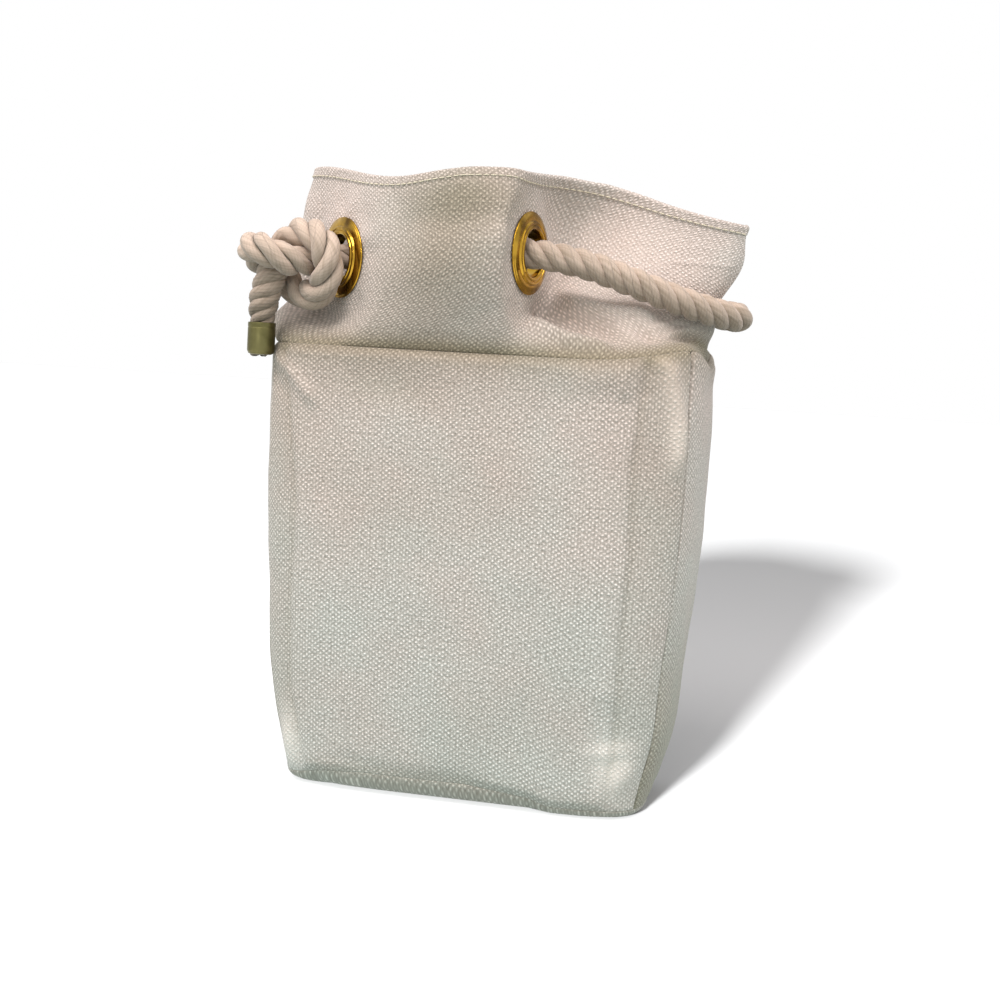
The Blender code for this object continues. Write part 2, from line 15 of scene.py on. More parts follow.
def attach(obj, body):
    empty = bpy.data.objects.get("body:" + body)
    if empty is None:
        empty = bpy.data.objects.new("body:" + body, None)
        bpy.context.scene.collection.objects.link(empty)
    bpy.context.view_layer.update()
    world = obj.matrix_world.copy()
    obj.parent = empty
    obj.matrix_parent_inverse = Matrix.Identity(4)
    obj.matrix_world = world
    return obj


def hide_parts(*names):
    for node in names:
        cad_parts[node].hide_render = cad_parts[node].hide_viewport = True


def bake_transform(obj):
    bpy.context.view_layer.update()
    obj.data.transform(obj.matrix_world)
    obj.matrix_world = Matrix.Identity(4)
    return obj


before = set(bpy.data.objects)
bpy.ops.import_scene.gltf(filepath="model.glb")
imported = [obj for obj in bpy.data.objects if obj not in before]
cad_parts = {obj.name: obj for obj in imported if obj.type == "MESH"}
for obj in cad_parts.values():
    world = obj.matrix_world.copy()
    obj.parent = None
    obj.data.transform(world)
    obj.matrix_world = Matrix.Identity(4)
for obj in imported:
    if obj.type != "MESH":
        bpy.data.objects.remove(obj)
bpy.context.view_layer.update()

# %% [markdown]
# ## The camera
#
# A camera in Blender looks down its own -Z, with +X to its right and +Y up. Instead of turning it
# by three angles, we build those three directions and put them into its matrix. The photograph is
# taken a little from the right, looks slightly down, and is turned by about three degrees. The
# lens follows from the focal length in pixels: sensor width times that length over image width.

# %% Camera
PHOTO_WIDTH_PX = 1000
FOCAL_PX = 1600
SENSOR = 36.0
CAMERA_AWAY = 0.72
CAMERA_HEIGHT = 0.1985
CAMERA_SHIFT = 0.0054
CAMERA_AZIMUTH = math.radians(12.5)
CAMERA_PITCH = math.radians(5.4)
CAMERA_ROLL = math.radians(3.2)


def make_camera():
    """The three directions: forward from azimuth and pitch, right level, and both then rolled."""
    sin_a, cos_a = math.sin(CAMERA_AZIMUTH), math.cos(CAMERA_AZIMUTH)
    sin_p, cos_p = math.sin(CAMERA_PITCH), math.cos(CAMERA_PITCH)
    forward = Vector((-sin_a * cos_p, cos_a * cos_p, -sin_p))
    right = Vector((cos_a, sin_a, 0.0))
    up = right.cross(forward)
    sin_r, cos_r = math.sin(CAMERA_ROLL), math.cos(CAMERA_ROLL)
    rolled_right = right * cos_r + up * sin_r
    rolled_up = up * cos_r - right * sin_r
    eye = Vector((CAMERA_AWAY * sin_a, -CAMERA_AWAY * cos_a, CAMERA_HEIGHT)) + right * CAMERA_SHIFT
    data = bpy.data.cameras.new("camera")
    data.sensor_width = SENSOR
    data.lens = SENSOR * FOCAL_PX / PHOTO_WIDTH_PX
    camera = bpy.data.objects.new("camera", data)
    bpy.context.scene.collection.objects.link(camera)
    turned = Matrix((rolled_right, rolled_up, -forward)).transposed().to_4x4()
    camera.matrix_world = Matrix.Translation(eye) @ turned
    bpy.context.scene.camera = camera
    return camera


camera = make_camera()
print("camera lens in mm:", round(camera.data.lens, 1))

# %% [markdown]
# ## Helpers for shapes
#
# Every new piece here is a surface on a grid. A grid is an array with rows, columns and three
# coordinates, worked out by numpy for all its points at once. One helper turns such arrays into a
# mesh, and stores a UV map that holds real distances along the cloth, so that a weave keeps its
# true scale wherever the cloth goes. The first helpers are for smooth steps, bells and curves.


# %% Curves and easing
def ease(share):
    """A smooth step: 3 s^2 - 2 s^3, with s held between 0 and 1."""
    share = np.clip(share, 0.0, 1.0)
    return share * share * (3.0 - 2.0 * share)


def bell(values, centre, width):
    """1 at the centre, and exp(-((value - centre) / width)^2) away from it."""
    return np.exp(-(((values - centre) / width) ** 2))


def unit(vectors):
    return vectors / np.linalg.norm(vectors, axis=-1, keepdims=True)


def distances_along(points):
    """The running length of a polyline at each of its points."""
    steps = np.linalg.norm(np.diff(points, axis=0), axis=1)
    return np.concatenate(([0.0], np.cumsum(steps)))


def resampled(curve, shares):
    """Points of a polyline at the given shares of its length."""
    along = distances_along(curve)
    axes = range(curve.shape[1])
    return np.stack([np.interp(shares * along[-1], along, curve[:, i]) for i in axes], 1)


def splined(points, steps):
    """A Catmull-Rom curve: a cubic between each two points, its slopes set by their neighbours."""
    points = np.asarray(points, float)
    knots = np.concatenate((2 * points[:1] - points[1:2], points, 2 * points[-1:] - points[-2:-1]))
    at = np.linspace(0.0, len(points) - 1, steps)
    first = np.minimum(at.astype(int), len(points) - 2)
    t = (at - first)[:, None]
    p0, p1, p2, p3 = (knots[first + i] for i in range(4))
    return p1 + t * (
        (p2 - p0) + t * ((2 * p0 - 5 * p1 + 4 * p2 - p3) + t * (3 * (p1 - p2) + p3 - p0))
    ) / 2


# %% [markdown]
# Cloth is never quite flat. Lumps of a chosen size give it soft random relief, always the same for
# the same seed. Folds are placed one by one: a ridge follows a line, and a dent is a round hump.
# Both
# are kept in tables, one row for each: its height in metres first, below zero where the cloth goes
# in, then where it lies and how wide it is.

# %% Relief
LATTICE = 64


def lumps(across, up, size, seed):
    """Values from -1 to 1: random heights on a square lattice of this size, eased between."""
    table = np.random.default_rng(seed).uniform(-1.0, 1.0, (LATTICE, LATTICE))
    column, row = np.floor(across / size).astype(int), np.floor(up / size).astype(int)
    right, top = ease(across / size - column), ease(up / size - row)

    def height(i, j):
        return table[(row + j) % LATTICE, (column + i) % LATTICE]

    low = height(0, 0) * (1 - right) + height(1, 0) * right
    high = height(0, 1) * (1 - right) + height(1, 1) * right
    return low * (1 - top) + high * top


def to_line(across, up, line):
    """The distance from each point to a polyline, and the share of the line's length there."""
    line = np.asarray(line, float)
    best = np.full(across.shape, np.inf)
    place = np.zeros(across.shape)
    run = distances_along(line)
    for i in range(len(line) - 1):
        start, step = line[i], line[i + 1] - line[i]
        t = ((across - start[0]) * step[0] + (up - start[1]) * step[1]) / (step @ step)
        t = np.clip(t, 0.0, 1.0)
        away = np.hypot(across - start[0] - t * step[0], up - start[1] - t * step[1])
        nearer = away < best
        best = np.where(nearer, away, best)
        place = np.where(nearer, (run[i] + t * (run[i + 1] - run[i])) / run[-1], place)
    return best, place


def ridge(across, up, line, width, fade=0.25):
    """A rounded ridge, exp(-(distance / width)^2), that fades in and out at the line's ends."""
    away, place = to_line(across, up, line)
    ends = ease(place / fade) * ease((1.0 - place) / fade)
    return bell(away, 0.0, width) * ends


def dent(across, up, centre, size, turn=0.0):
    """A round hump, exp(-(x / w)^2 - (y / h)^2), in axes turned by the angle."""
    x, y = across - centre[0], up - centre[1]
    c, s = math.cos(turn), math.sin(turn)
    return np.exp(-(((x * c + y * s) / size[0]) ** 2) - ((y * c - x * s) / size[1]) ** 2)


def formed(across, up, ridges=(), dents=()):
    """The sum of a table of ridges (height, line, width) and one of dents.

    A dent's row is (height, centre, size, turn in degrees).
    """
    total = np.zeros(across.shape)
    for height, line, width in ridges:
        total += height * ridge(across, up, line, width)
    for height, centre, size, turn in dents:
        total += height * dent(across, up, centre, size, math.radians(turn))
    return total


# %% [markdown]
# A mesh needs its points, and for each face the numbers of its corners. On a grid these follow
# from the row and the column. Solidify, a modifier, later gives a cloth surface its thickness.

# %% Meshes from grids
def grid_faces(rows, columns, wrap_columns=False, wrap_rows=False):
    """Quads that join each point of a grid to its right-hand and upper neighbours."""
    index = np.arange(rows * columns).reshape(rows, columns)
    if wrap_columns:
        index = np.column_stack((index, index[:, 0]))
    if wrap_rows:
        index = np.vstack((index, index[:1]))
    corners = (index[:-1, :-1], index[:-1, 1:], index[1:, 1:], index[1:, :-1])
    return np.stack(corners, -1).reshape(-1, 4)


def piece_from(name, points, faces, uv=None, material=None, extras=None):
    """A mesh object from points, faces (an array or lists) and a UV value for each point."""
    mesh = bpy.data.meshes.new(name)
    faces = faces.tolist() if isinstance(faces, np.ndarray) else faces
    mesh.from_pydata(points.reshape(-1, 3).tolist(), [], faces)
    if uv is not None:
        corner = np.empty(len(mesh.loops), np.int32)
        mesh.loops.foreach_get("vertex_index", corner)
        layer = mesh.uv_layers.new(name="cloth")
        layer.data.foreach_set("uv", uv.reshape(-1, 2)[corner].astype(np.float32).ravel())
    for key, values in (extras or {}).items():
        attribute = mesh.attributes.new(key, "FLOAT", "POINT")
        attribute.data.foreach_set("value", values.astype(np.float32).ravel())
    mesh.shade_smooth()
    made = bpy.data.objects.new(name, mesh)
    bpy.context.scene.collection.objects.link(made)
    if material is not None:
        mesh.materials.append(material)
    return made


def outward_normals(points):
    """Normals of a grid whose columns run to the right and rows upwards, seen from outside."""
    return unit(np.cross(np.gradient(points, axis=1), np.gradient(points, axis=0)))


def give_wall(piece, thickness):
    """A wall on the inner side, from a Solidify modifier: the first surface stays outside."""
    wall = piece.modifiers.new("wall", "SOLIDIFY")
    wall.thickness = thickness
    wall.offset = -1.0
    return piece


# %% [markdown]
# ## Helpers for materials
#
# A material in Blender is a small network of nodes. The helper below adds one node and sets or
# joins its inputs in one call, so a network reads from top to bottom like a recipe. What most of
# the materials need, such as noise or a bump, has a helper of its own.


# %% Material helpers
def add_node(tree, kind, inputs=None, **settings):
    """Adds a node. Each input is a value, or the output socket that feeds it."""
    node = tree.nodes.new(kind)
    for key, value in settings.items():
        setattr(node, key, value)
    for key, value in (inputs or {}).items():
        if isinstance(value, bpy.types.NodeSocket):
            tree.links.new(value, node.inputs[key])
        else:
            node.inputs[key].default_value = value
    return node


def math_node(tree, operation, *values):
    made = add_node(tree, "ShaderNodeMath", dict(enumerate(values)), operation=operation)
    return made.outputs[0]


def mix_colour(tree, share, first, second, blend="MIX"):
    made = add_node(tree, "ShaderNodeMix", data_type="RGBA", blend_type=blend)
    for index, value in ((0, share), (6, first), (7, second)):
        if isinstance(value, bpy.types.NodeSocket):
            tree.links.new(value, made.inputs[index])
        else:
            made.inputs[index].default_value = value
    return made.outputs[2]


def noise(tree, place, scale, detail=2.0, roughness=0.5, output="Fac"):
    """Smooth random values, or colours, that change over about 1 / scale metres."""
    made = add_node(tree, "ShaderNodeTexNoise", {
        "Vector": place, "Scale": scale, "Detail": detail, "Roughness": roughness})
    return made.outputs[output]


def object_place(tree):
    return add_node(tree, "ShaderNodeTexCoord").outputs["Object"]


def cloth_place(tree):
    return add_node(tree, "ShaderNodeUVMap", uv_map="cloth").outputs[0]


def point_value(tree, name):
    return add_node(tree, "ShaderNodeAttribute", attribute_name=name).outputs["Fac"]


def add_bump(tree, shader, height, strength, distance):
    """Lets the light fall as if the surface rose and sank by the height pattern."""
    bump = add_node(tree, "ShaderNodeBump",
                    {"Strength": strength, "Distance": distance, "Height": height})
    tree.links.new(bump.outputs[0], shader.inputs["Normal"])


# %% [markdown]
# A colour ramp turns a value into shades, and a group is a network with its own inputs and outputs
# that several materials can share.

# %% Ramps, colours and groups
def ramp(tree, share, stops):
    made = add_node(tree, "ShaderNodeValToRGB", {"Fac": share})
    elements = made.color_ramp.elements
    while len(elements) < len(stops):
        elements.new(0.5)
    for element, (place, value) in zip(elements, stops):
        element.position = place
        element.color = value if isinstance(value, tuple) else (value, value, value, 1.0)
    return made.outputs[0]


def linear(red, green, blue):
    """A colour as seen on a screen, 0 to 255, in the linear values that shaders take."""
    channels = np.array([red, green, blue]) / 255.0
    low, high = channels / 12.92, ((channels + 0.055) / 1.055) ** 2.4
    return (*np.where(channels <= 0.04045, low, high).tolist(), 1.0)


def new_material(name):
    made = bpy.data.materials.new(name)
    made.use_nodes = True
    return made, made.node_tree, made.node_tree.nodes["Principled BSDF"]


def new_group(name, sockets):
    """A shader node group. Each socket is (name, IN or OUT, type, default)."""
    group = bpy.data.node_groups.new(name, "ShaderNodeTree")
    for title, side, kind, default in sockets:
        made = group.interface.new_socket(
            title, in_out=side + "PUT", socket_type="NodeSocket" + kind)
        if default is not None:
            made.default_value = default
    return group, group.nodes.new("NodeGroupInput"), group.nodes.new("NodeGroupOutput")


def use_group(tree, group, inputs):
    return add_node(tree, "ShaderNodeGroup", inputs, node_tree=group)


# %% [markdown]
# ## The weave, as a node group
#
# Plain-woven canvas shows a chessboard of small floats. The product of two cosines has exactly
# that pattern: it peaks where a thread of one set comes up, and sinks where it dives. The squares
# of the same cosines add the shallow gaps between neighbouring threads. The two coordinates are
# first pushed about a little by slow noise, because no thread runs true, and each float gets its
# own height. Both canvas and lining use the group, each with its own thread counts.

# %% Weave group
WARP_PITCH = 0.00134
WEFT_PITCH = 0.00101
WANDER_SCALE = 140.0
UNEVEN_SCALE = 800.0
SLUB_SCALES = (30.0, 900.0, 1.0)


def make_weave_group():
    group, source, result = new_group("weave", (
        ("Cloth", "IN", "Vector", None),
        ("Across", "IN", "Float", 1.0 / WARP_PITCH),
        ("Up", "IN", "Float", 1.0 / WEFT_PITCH),
        ("Wander", "IN", "Float", 0.5),
        ("Height", "OUT", "Float", None),
        ("Slub", "OUT", "Float", None),
    ))
    cloth = source.outputs["Cloth"]
    split = add_node(group, "ShaderNodeSeparateXYZ", {0: cloth})
    slow = noise(group, cloth, WANDER_SCALE, output="Color")
    pushed = add_node(group, "ShaderNodeSeparateXYZ", {0: slow})
    waves = []
    for axis, count in (("X", "Across"), ("Y", "Up")):
        cells = math_node(group, "MULTIPLY", split.outputs[axis], source.outputs[count])
        drift = math_node(group, "SUBTRACT", pushed.outputs[axis], 0.5)
        drift = math_node(group, "MULTIPLY", drift, source.outputs["Wander"])
        cells = math_node(group, "ADD", cells, drift)
        waves.append(math_node(group, "COSINE", math_node(group, "MULTIPLY", cells, math.pi)))
    board = math_node(group, "MULTIPLY", *waves)
    raised = math_node(group, "MULTIPLY_ADD", board, 0.31, 0.325)
    for wave, gap_share in zip(waves, (0.25, 0.09)):
        gaps = math_node(group, "MULTIPLY", wave, wave)
        raised = math_node(group, "MULTIPLY_ADD", gaps, gap_share, raised)
    uneven = noise(group, cloth, UNEVEN_SCALE)
    strength = math_node(group, "MULTIPLY_ADD", uneven, 2.9, -0.47)
    group.links.new(math_node(group, "MULTIPLY", raised, strength), result.inputs["Height"])
    stretched = add_node(group, "ShaderNodeMapping", {"Vector": cloth, "Scale": SLUB_SCALES})
    group.links.new(noise(group, stretched.outputs[0], 1.0), result.inputs["Slub"])
    return group


weave_group = make_weave_group()
print("weave group:", len(weave_group.nodes), "nodes")

# %% [markdown]
# ## Canvas
#
# The canvas is undyed white cotton. Its floats are warm white and the gaps between them grey, a
# painted shade between the threads. It is quite matt, and it has a little fuzz that catches light
# at grazing angles, which is what the sheen value does. Broad, faint stains keep it from looking
# printed. Three point attributes paint light and shade on it. One tints it pinker towards the
# collar and greener towards the foot, a painted tint of warm light from above and of the floor's
# bounce.
# One is painted shade under seams, along the foot, low on the gussets, beside the pads' edges and
# between the eyelets, with faint stains in it. One is painted highlight: paler gaps on lit bulges.

# %% Canvas material
CANVAS_FLOAT = linear(250, 246, 243)
# Painted shade: the grey of the weave's gaps stands for the shade between the floats.
CANVAS_GAP = linear(150, 146, 139)
# Painted highlight: a paler gap colour for bulges that face the light.
CANVAS_LIT_GAP = linear(226, 218, 212)
CANVAS_COOL = linear(245, 252, 248)
CANVAS_WARM = linear(255, 243, 237)
# Painted shade, with faint stains: the darker tone for shaded places.
CANVAS_SHADED = linear(182, 180, 160)


def make_canvas():
    material, tree, shader = new_material("canvas_white")
    cloth = cloth_place(tree)
    weave = use_group(tree, weave_group, {"Cloth": cloth})
    patches = ramp(tree, noise(tree, cloth, 21.0, 3.0), ((0.35, 0.0), (0.65, 0.45)))
    # Painted light: pinker high up and greener low down, by a point attribute; the patches are
    # stains.
    share = math_node(tree, "MULTIPLY_ADD", point_value(tree, "painted_light_tint"), 0.75, patches)
    tone = mix_colour(tree, share, CANVAS_COOL, CANVAS_WARM)
    contrast = ramp(tree, weave.outputs["Height"], ((0.05, 0.0), (0.5, 0.36), (1.0, 1.0)))
    # Painted highlight: lit bulges get paler gaps.
    gap = mix_colour(tree, point_value(tree, "painted_highlight"), CANVAS_GAP, CANVAS_LIT_GAP)
    thread = mix_colour(tree, contrast, gap, CANVAS_FLOAT)
    clean = mix_colour(tree, 1.0, thread, tone, "MULTIPLY")
    # Painted shade, with faint stains, darkens the colour where the point attribute says.
    shaded_tone = mix_colour(tree, point_value(tree, "shade_and_stain"), clean, CANVAS_SHADED, "MULTIPLY")
    tree.links.new(shaded_tone, shader.inputs["Base Color"])
    slub = math_node(tree, "MULTIPLY", weave.outputs["Slub"], 0.35)
    height = math_node(tree, "ADD", weave.outputs["Height"], slub)
    add_bump(tree, shader, height, strength=0.7, distance=0.0006)
    shader.inputs["Roughness"].default_value = 0.88
    shader.inputs["Sheen Weight"].default_value = 0.15
    shader.inputs["Sheen Roughness"].default_value = 0.5
    return material


canvas = make_canvas()
print("canvas made, thread pitch in mm:", 1000 * WARP_PITCH, "by", 1000 * WEFT_PITCH)

# %% [markdown]
# ## Rope
#
# The rope is soft cotton in three strands, laid to the right, so the strands climb like the middle
# stroke of a Z. A laid rope could be faked with a bump on one tube, but its outline would then be
# straight. Here each strand is its own tube on a helix round the rope's path, and the yarns in it
# turn the other way, so that on the outside they lie almost along the rope.

# %% Rope material
ROPE_LIGHT = linear(218, 196, 178)
ROPE_SHADE = linear(170, 151, 132)
ROPE_PATCH = linear(204, 182, 164)
ROPE_DARK = linear(72, 63, 42)
YARN_SCALES = (520.0, 14.0, 1.0)


def make_rope_material():
    material, tree, shader = new_material("cotton_rope")
    lay = cloth_place(tree)
    yarns = add_node(tree, "ShaderNodeMapping", {"Vector": lay, "Scale": YARN_SCALES})
    fine = noise(tree, yarns.outputs[0], 1.0, 5.0, 0.65)
    streak = ramp(tree, fine, ((0.32, 0.0), (0.62, 1.0)))
    base = mix_colour(tree, streak, ROPE_SHADE, ROPE_LIGHT)
    patches = ramp(tree, noise(tree, lay, 45.0), ((0.4, 0.0), (0.7, 0.5)))
    base = mix_colour(tree, patches, base, ROPE_PATCH)
    # Painted shade: the groove attribute darkens the rope between strands, between yarns and
    # beneath.
    grooved = mix_colour(tree, point_value(tree, "groove"), base, ROPE_DARK)
    tree.links.new(grooved, shader.inputs["Base Color"])
    add_bump(tree, shader, fine, strength=0.8, distance=0.0008)
    shader.inputs["Roughness"].default_value = 0.9
    shader.inputs["Sheen Weight"].default_value = 0.25
    return material


rope_cotton = make_rope_material()
print("rope material:", len(rope_cotton.node_tree.nodes), "nodes")

# %% [markdown]
# The rope's routes follow the points of the construction model, in rope diameters, with the knot
# drawn a little tighter. The left eyelets are turned a little more to the front.

# %% Sizes of body, eyelets and rope
BODY_WIDTH = 0.191
BODY_DEPTH = 0.100
BODY_HEIGHT = 0.196
ROPE = 0.0130
KNOT_TIGHTNESS_SHARE = 0.94
STUB_LENGTH = 0.026
LOOP_SLACK = 0.0045
LOOP_FALL = math.radians(6.0)
KNOT_TURN = math.radians(-71.4)
CAP_LENGTH = 0.0140
CAP_DIAMETER = 0.0120
FIT = 0.0004
UP = np.array([0.0, 0.0, 1.0])
SIDES = {"front": np.array([1.0, 1.0, 1.0]), "back": np.array([1.0, -1.0, 1.0])}

LEFT_SHARES = (-0.660, -0.64)
RIGHT_SHARES = (0.208, -0.72)
LEFT_EYELET = np.array([LEFT_SHARES[0] * BODY_WIDTH / 2, LEFT_SHARES[1] * BODY_DEPTH / 2, 0.234])
RIGHT_EYELET = np.array(
    [RIGHT_SHARES[0] * BODY_WIDTH / 2, RIGHT_SHARES[1] * BODY_DEPTH / 2, 0.239])
LEFT_TURN = math.radians(-42.5)
RIGHT_TURN = math.radians(77.0)

KNOT_ROUTE_SHARES = (
    (0.55, 0.00, 0.00), (1.00, -0.14, 0.10), (1.52, -0.26, 0.52), (2.14, -0.18, 0.94),
    (2.72, 0.06, 0.94), (3.12, 0.18, 0.42), (3.20, 0.08, -0.26), (2.90, -0.24, -0.86),
    (2.40, -0.62, -1.08), (1.84, -1.04, -0.84), (1.30, -1.38, -0.24), (0.82, -1.28, 0.44),
    (0.56, -0.76, 0.96), (0.56, -0.02, 1.14), (0.84, 0.54, 0.94), (1.32, 0.78, 0.36),
    (1.80, 0.66, -0.18), (2.14, 0.22, -0.30), (2.38, -0.40, -0.08), (2.60, -1.04, 0.04),
    (2.74, -1.68, -0.08), (2.78, -2.28, -0.16), (2.78, -2.90, -0.16), (2.78, -3.52, -0.16),
)
LOOP_ROUTE_SHARES = (
    (1.00, 0.00, -0.11), (2.20, 0.08, -0.36), (3.40, 0.32, -0.76), (4.50, 0.76, -1.14),
    (5.50, 1.36, -1.44), (6.16, 1.98, -1.60),
)
LOOP_END_FALL_SHARE = 0.05
INNER_ROUTE_SHARES = ((0.20, 0.12, 0.16), (0.50, 0.20, 0.42), (0.80, 0.10, 0.20))
STRAIGHT_SHARES = (0.0, 0.25, 0.5)
print("body in mm:", [round(1000 * size) for size in (BODY_WIDTH, BODY_DEPTH, BODY_HEIGHT)])

# %% [markdown]
# A route is a short list of points in space. A smooth curve goes through them, and is then cut
# into even steps, because a rope of even strands needs an even path.

# %% Rope routes
ROPE_STEP = 0.0008
DENSE_POINTS = 1500


def level(turn):
    """A level direction: straight to the front at 0, and to the right at a quarter turn."""
    return np.array([math.sin(turn), -math.cos(turn), 0.0])


def falling(fall):
    """A direction to the right that falls by the angle."""
    return np.array([math.cos(fall), 0.0, -math.sin(fall)])


def knot_route():
    """From the stub inside the collar, out through the left eyelet, round the knot to the tail."""
    out = level(KNOT_TURN)
    front = np.cross(UP, out)
    points = [LEFT_EYELET - out * STUB_LENGTH, LEFT_EYELET - out * STUB_LENGTH / 2, LEFT_EYELET]
    for along, high, near in KNOT_ROUTE_SHARES:
        step = along * out + high * UP + near * front
        points.append(LEFT_EYELET + ROPE * KNOT_TIGHTNESS_SHARE * step)
    return np.array(points)


def loop_route():
    """Out of the front right eyelet, round the collar's right-hand tip and into the back one."""
    out = falling(LOOP_FALL)
    points = [RIGHT_EYELET - out * STUB_LENGTH, RIGHT_EYELET - out * STUB_LENGTH / 2, RIGHT_EYELET]
    points += [RIGHT_EYELET + ROPE * np.array(share) for share in LOOP_ROUTE_SHARES]
    turn_x = BODY_WIDTH / 2 + ROPE / 2 + LOOP_SLACK
    points.append(np.array([turn_x, 0.0, points[-1][2] - ROPE * LOOP_END_FALL_SHARE]))
    return np.array(points + [p * SIDES["back"] for p in points[-2::-1]])


def inner_route():
    """The slack run inside the collar, from the knot's stub to the loop's stub."""
    out_left, out_right = level(KNOT_TURN), falling(LOOP_FALL)
    start = knot_route()[0] - out_left * FIT
    end = loop_route()[0] - out_right * FIT
    entering = [start - out_left * ROPE * share for share in STRAIGHT_SHARES]
    leaving = [end - out_right * ROPE * share for share in STRAIGHT_SHARES[::-1]]
    first, last = entering[-1], leaving[0]
    middle = []
    for share, back, down in INNER_ROUTE_SHARES:
        middle.append(first + (last - first) * share + np.array([0.0, back * ROPE, -down * ROPE]))
    return np.array(entering + middle + leaving)


def even_path(route):
    curve = splined(route, DENSE_POINTS)
    length = distances_along(curve)[-1]
    return resampled(curve, np.linspace(0.0, 1.0, int(length / ROPE_STEP)))


print("route points:", len(knot_route()), len(loop_route()), len(inner_route()))

# %% [markdown]
# Three strands lie side by side at the same distance from the rope's middle and turn round it
# together. Each strand has shallow lobes, which are its yarns. `carried_frames` slides a pair of
# side directions along the path without letting them spin, so the only twist in the rope is the
# lay that we put in.

# %% Strands
STRANDS = 3
LAY_LENGTH = 0.0244
LOOSE_LAY_LENGTH = 0.034
TIGHT_LAY_LENGTH = 0.0170
STRAND_PLACE_SHARE = 0.525
STRAND_SHARE = 0.485
STRAND_HEIGHT_SHARE = 0.96
STRAND_WIDTH_SHARE = 1.03
WEDGE_SHARE = 1.22
STRAND_POINTS = 48
YARNS = 12
YARN_TURN = 300.0
YARN_DEPTH_SHARE = 0.045
YARN_GAP_SHADE = 0.24
UNDERSIDE_SHADE = 0.42
print("a turn of the strands in mm:", round(1000 * LAY_LENGTH, 1))


def carried_frames(points):
    """Two side directions, carried along so that they never spin about the path."""
    tangents = unit(np.gradient(points, axis=0))
    side = np.cross(tangents[0], UP if abs(tangents[0][2]) < 0.9 else np.array([1.0, 0.0, 0.0]))
    sides = []
    for tangent in tangents:
        side = unit(side - tangent * (side @ tangent))
        sides.append(side)
    sides = np.array(sides)
    return sides, np.cross(tangents, sides)


# %% [markdown]
# One function lays a whole rope. The path, the radius and the lay may all change along the way, so
# it serves the tight knot, the long loop and the slack runs alike.

# %% Laid rope
def laid_rope(name, path, radii, start_turn=0.0, lay=LAY_LENGTH, extra_dark=0.0):
    """Each strand's centre is path + place (cos a, sin a), with a growing by a turn per lay.

    Round that centre goes a circle of the strand's radius, a little wider along the rope's
    surface than across it, with one shallow lobe for each yarn. On the inside it is drawn out to
    a wedge, so that the three strands fill the rope's middle in tight bends too. The groove
    attribute is painted shade: it darkens the gaps between strands and yarns and the rope's
    underside, and it takes any extra darkening passed in.
    """
    side, other = carried_frames(path)
    along = distances_along(path)
    turns = np.append(0.0, np.cumsum(np.diff(along) / np.broadcast_to(lay, along.shape)[1:]))
    around = np.linspace(0.0, 2 * math.pi, STRAND_POINTS, endpoint=False)
    wedge = STRAND_HEIGHT_SHARE * np.where(np.cos(around) < 0.0, WEDGE_SHARE, 1.0) * np.cos(around)
    extra_dark = np.broadcast_to(extra_dark, along.shape)[:, None]
    points, uvs, grooves, faces = [], [], [], []
    for strand in range(STRANDS):
        turn = start_turn + 2 * math.pi * (turns + strand / STRANDS)
        outward = np.cos(turn)[:, None] * side + np.sin(turn)[:, None] * other
        centre = path + outward * (radii * STRAND_PLACE_SHARE)[:, None]
        ahead = unit(np.gradient(centre, axis=0))
        outward = unit(outward - ahead * np.sum(outward * ahead, 1, keepdims=True))
        across = np.cross(ahead, outward)
        run = distances_along(centre)
        phase = around[None] + YARN_TURN * run[:, None]
        lobes = np.abs(np.cos(phase * YARNS / 2))
        size = (radii * STRAND_SHARE)[:, None] * (1 - YARN_DEPTH_SHARE + YARN_DEPTH_SHARE * lobes)
        reach = size[..., None] * (
            wedge[None, :, None] * outward[:, None]
            + np.sin(around)[None, :, None] * across[:, None] * STRAND_WIDTH_SHARE
        )
        ring = centre[:, None] + reach
        offset = sum(len(p) for p in points)
        points.append(ring.reshape(-1, 3))
        uvs.append(np.stack([phase * radii.mean() * STRAND_SHARE, run[:, None] + 0 * phase], -1))
        # Painted shade between the strands and between the yarns, plus any extra darkening passed
        # in.
        inward = ease((0.12 - np.cos(around)) / 0.52)[None] + YARN_GAP_SHADE * (1 - lobes) ** 3 + extra_dark
        # Painted shade on the rope's underside.
        inward = inward + UNDERSIDE_SHADE * ease(0.42 - 0.58 * reach[..., 2] / size)
        grooves.append(np.clip(inward, 0.0, 1.0))
        count = len(path)
        faces += (grid_faces(count, STRAND_POINTS, wrap_columns=True) + offset).tolist()
        first = np.arange(STRAND_POINTS) + offset
        faces.append(first[::-1].tolist())
        faces.append((first + (count - 1) * STRAND_POINTS).tolist())
    uv = np.concatenate([u.reshape(-1, 2) for u in uvs])
    groove = np.concatenate([g.ravel() for g in grooves])
    return piece_from(name, np.concatenate(points), faces, uv, rope_cotton, {"groove": groove})


# %% [markdown]
# Metal pieces are turned: a profile of radius and height goes round an axis. The cap on the rope's
# end is a plain drawn cup of dulled brass with a rounded floor and a slightly flared lip, so one
# turned profile makes it, inside and outside.

# %% Turned pieces
TURNED_STEPS = 112
SHARP_ANGLE = math.radians(32.0)


def axes_at(axis):
    """Two directions square to an axis, the second as near upright as it can be."""
    z = unit(np.asarray(axis, float))
    x = np.cross(UP if abs(z[2]) < 0.9 else np.array([0.0, 1.0, 0.0]), z)
    x = unit(x)
    return x, np.cross(z, x), z


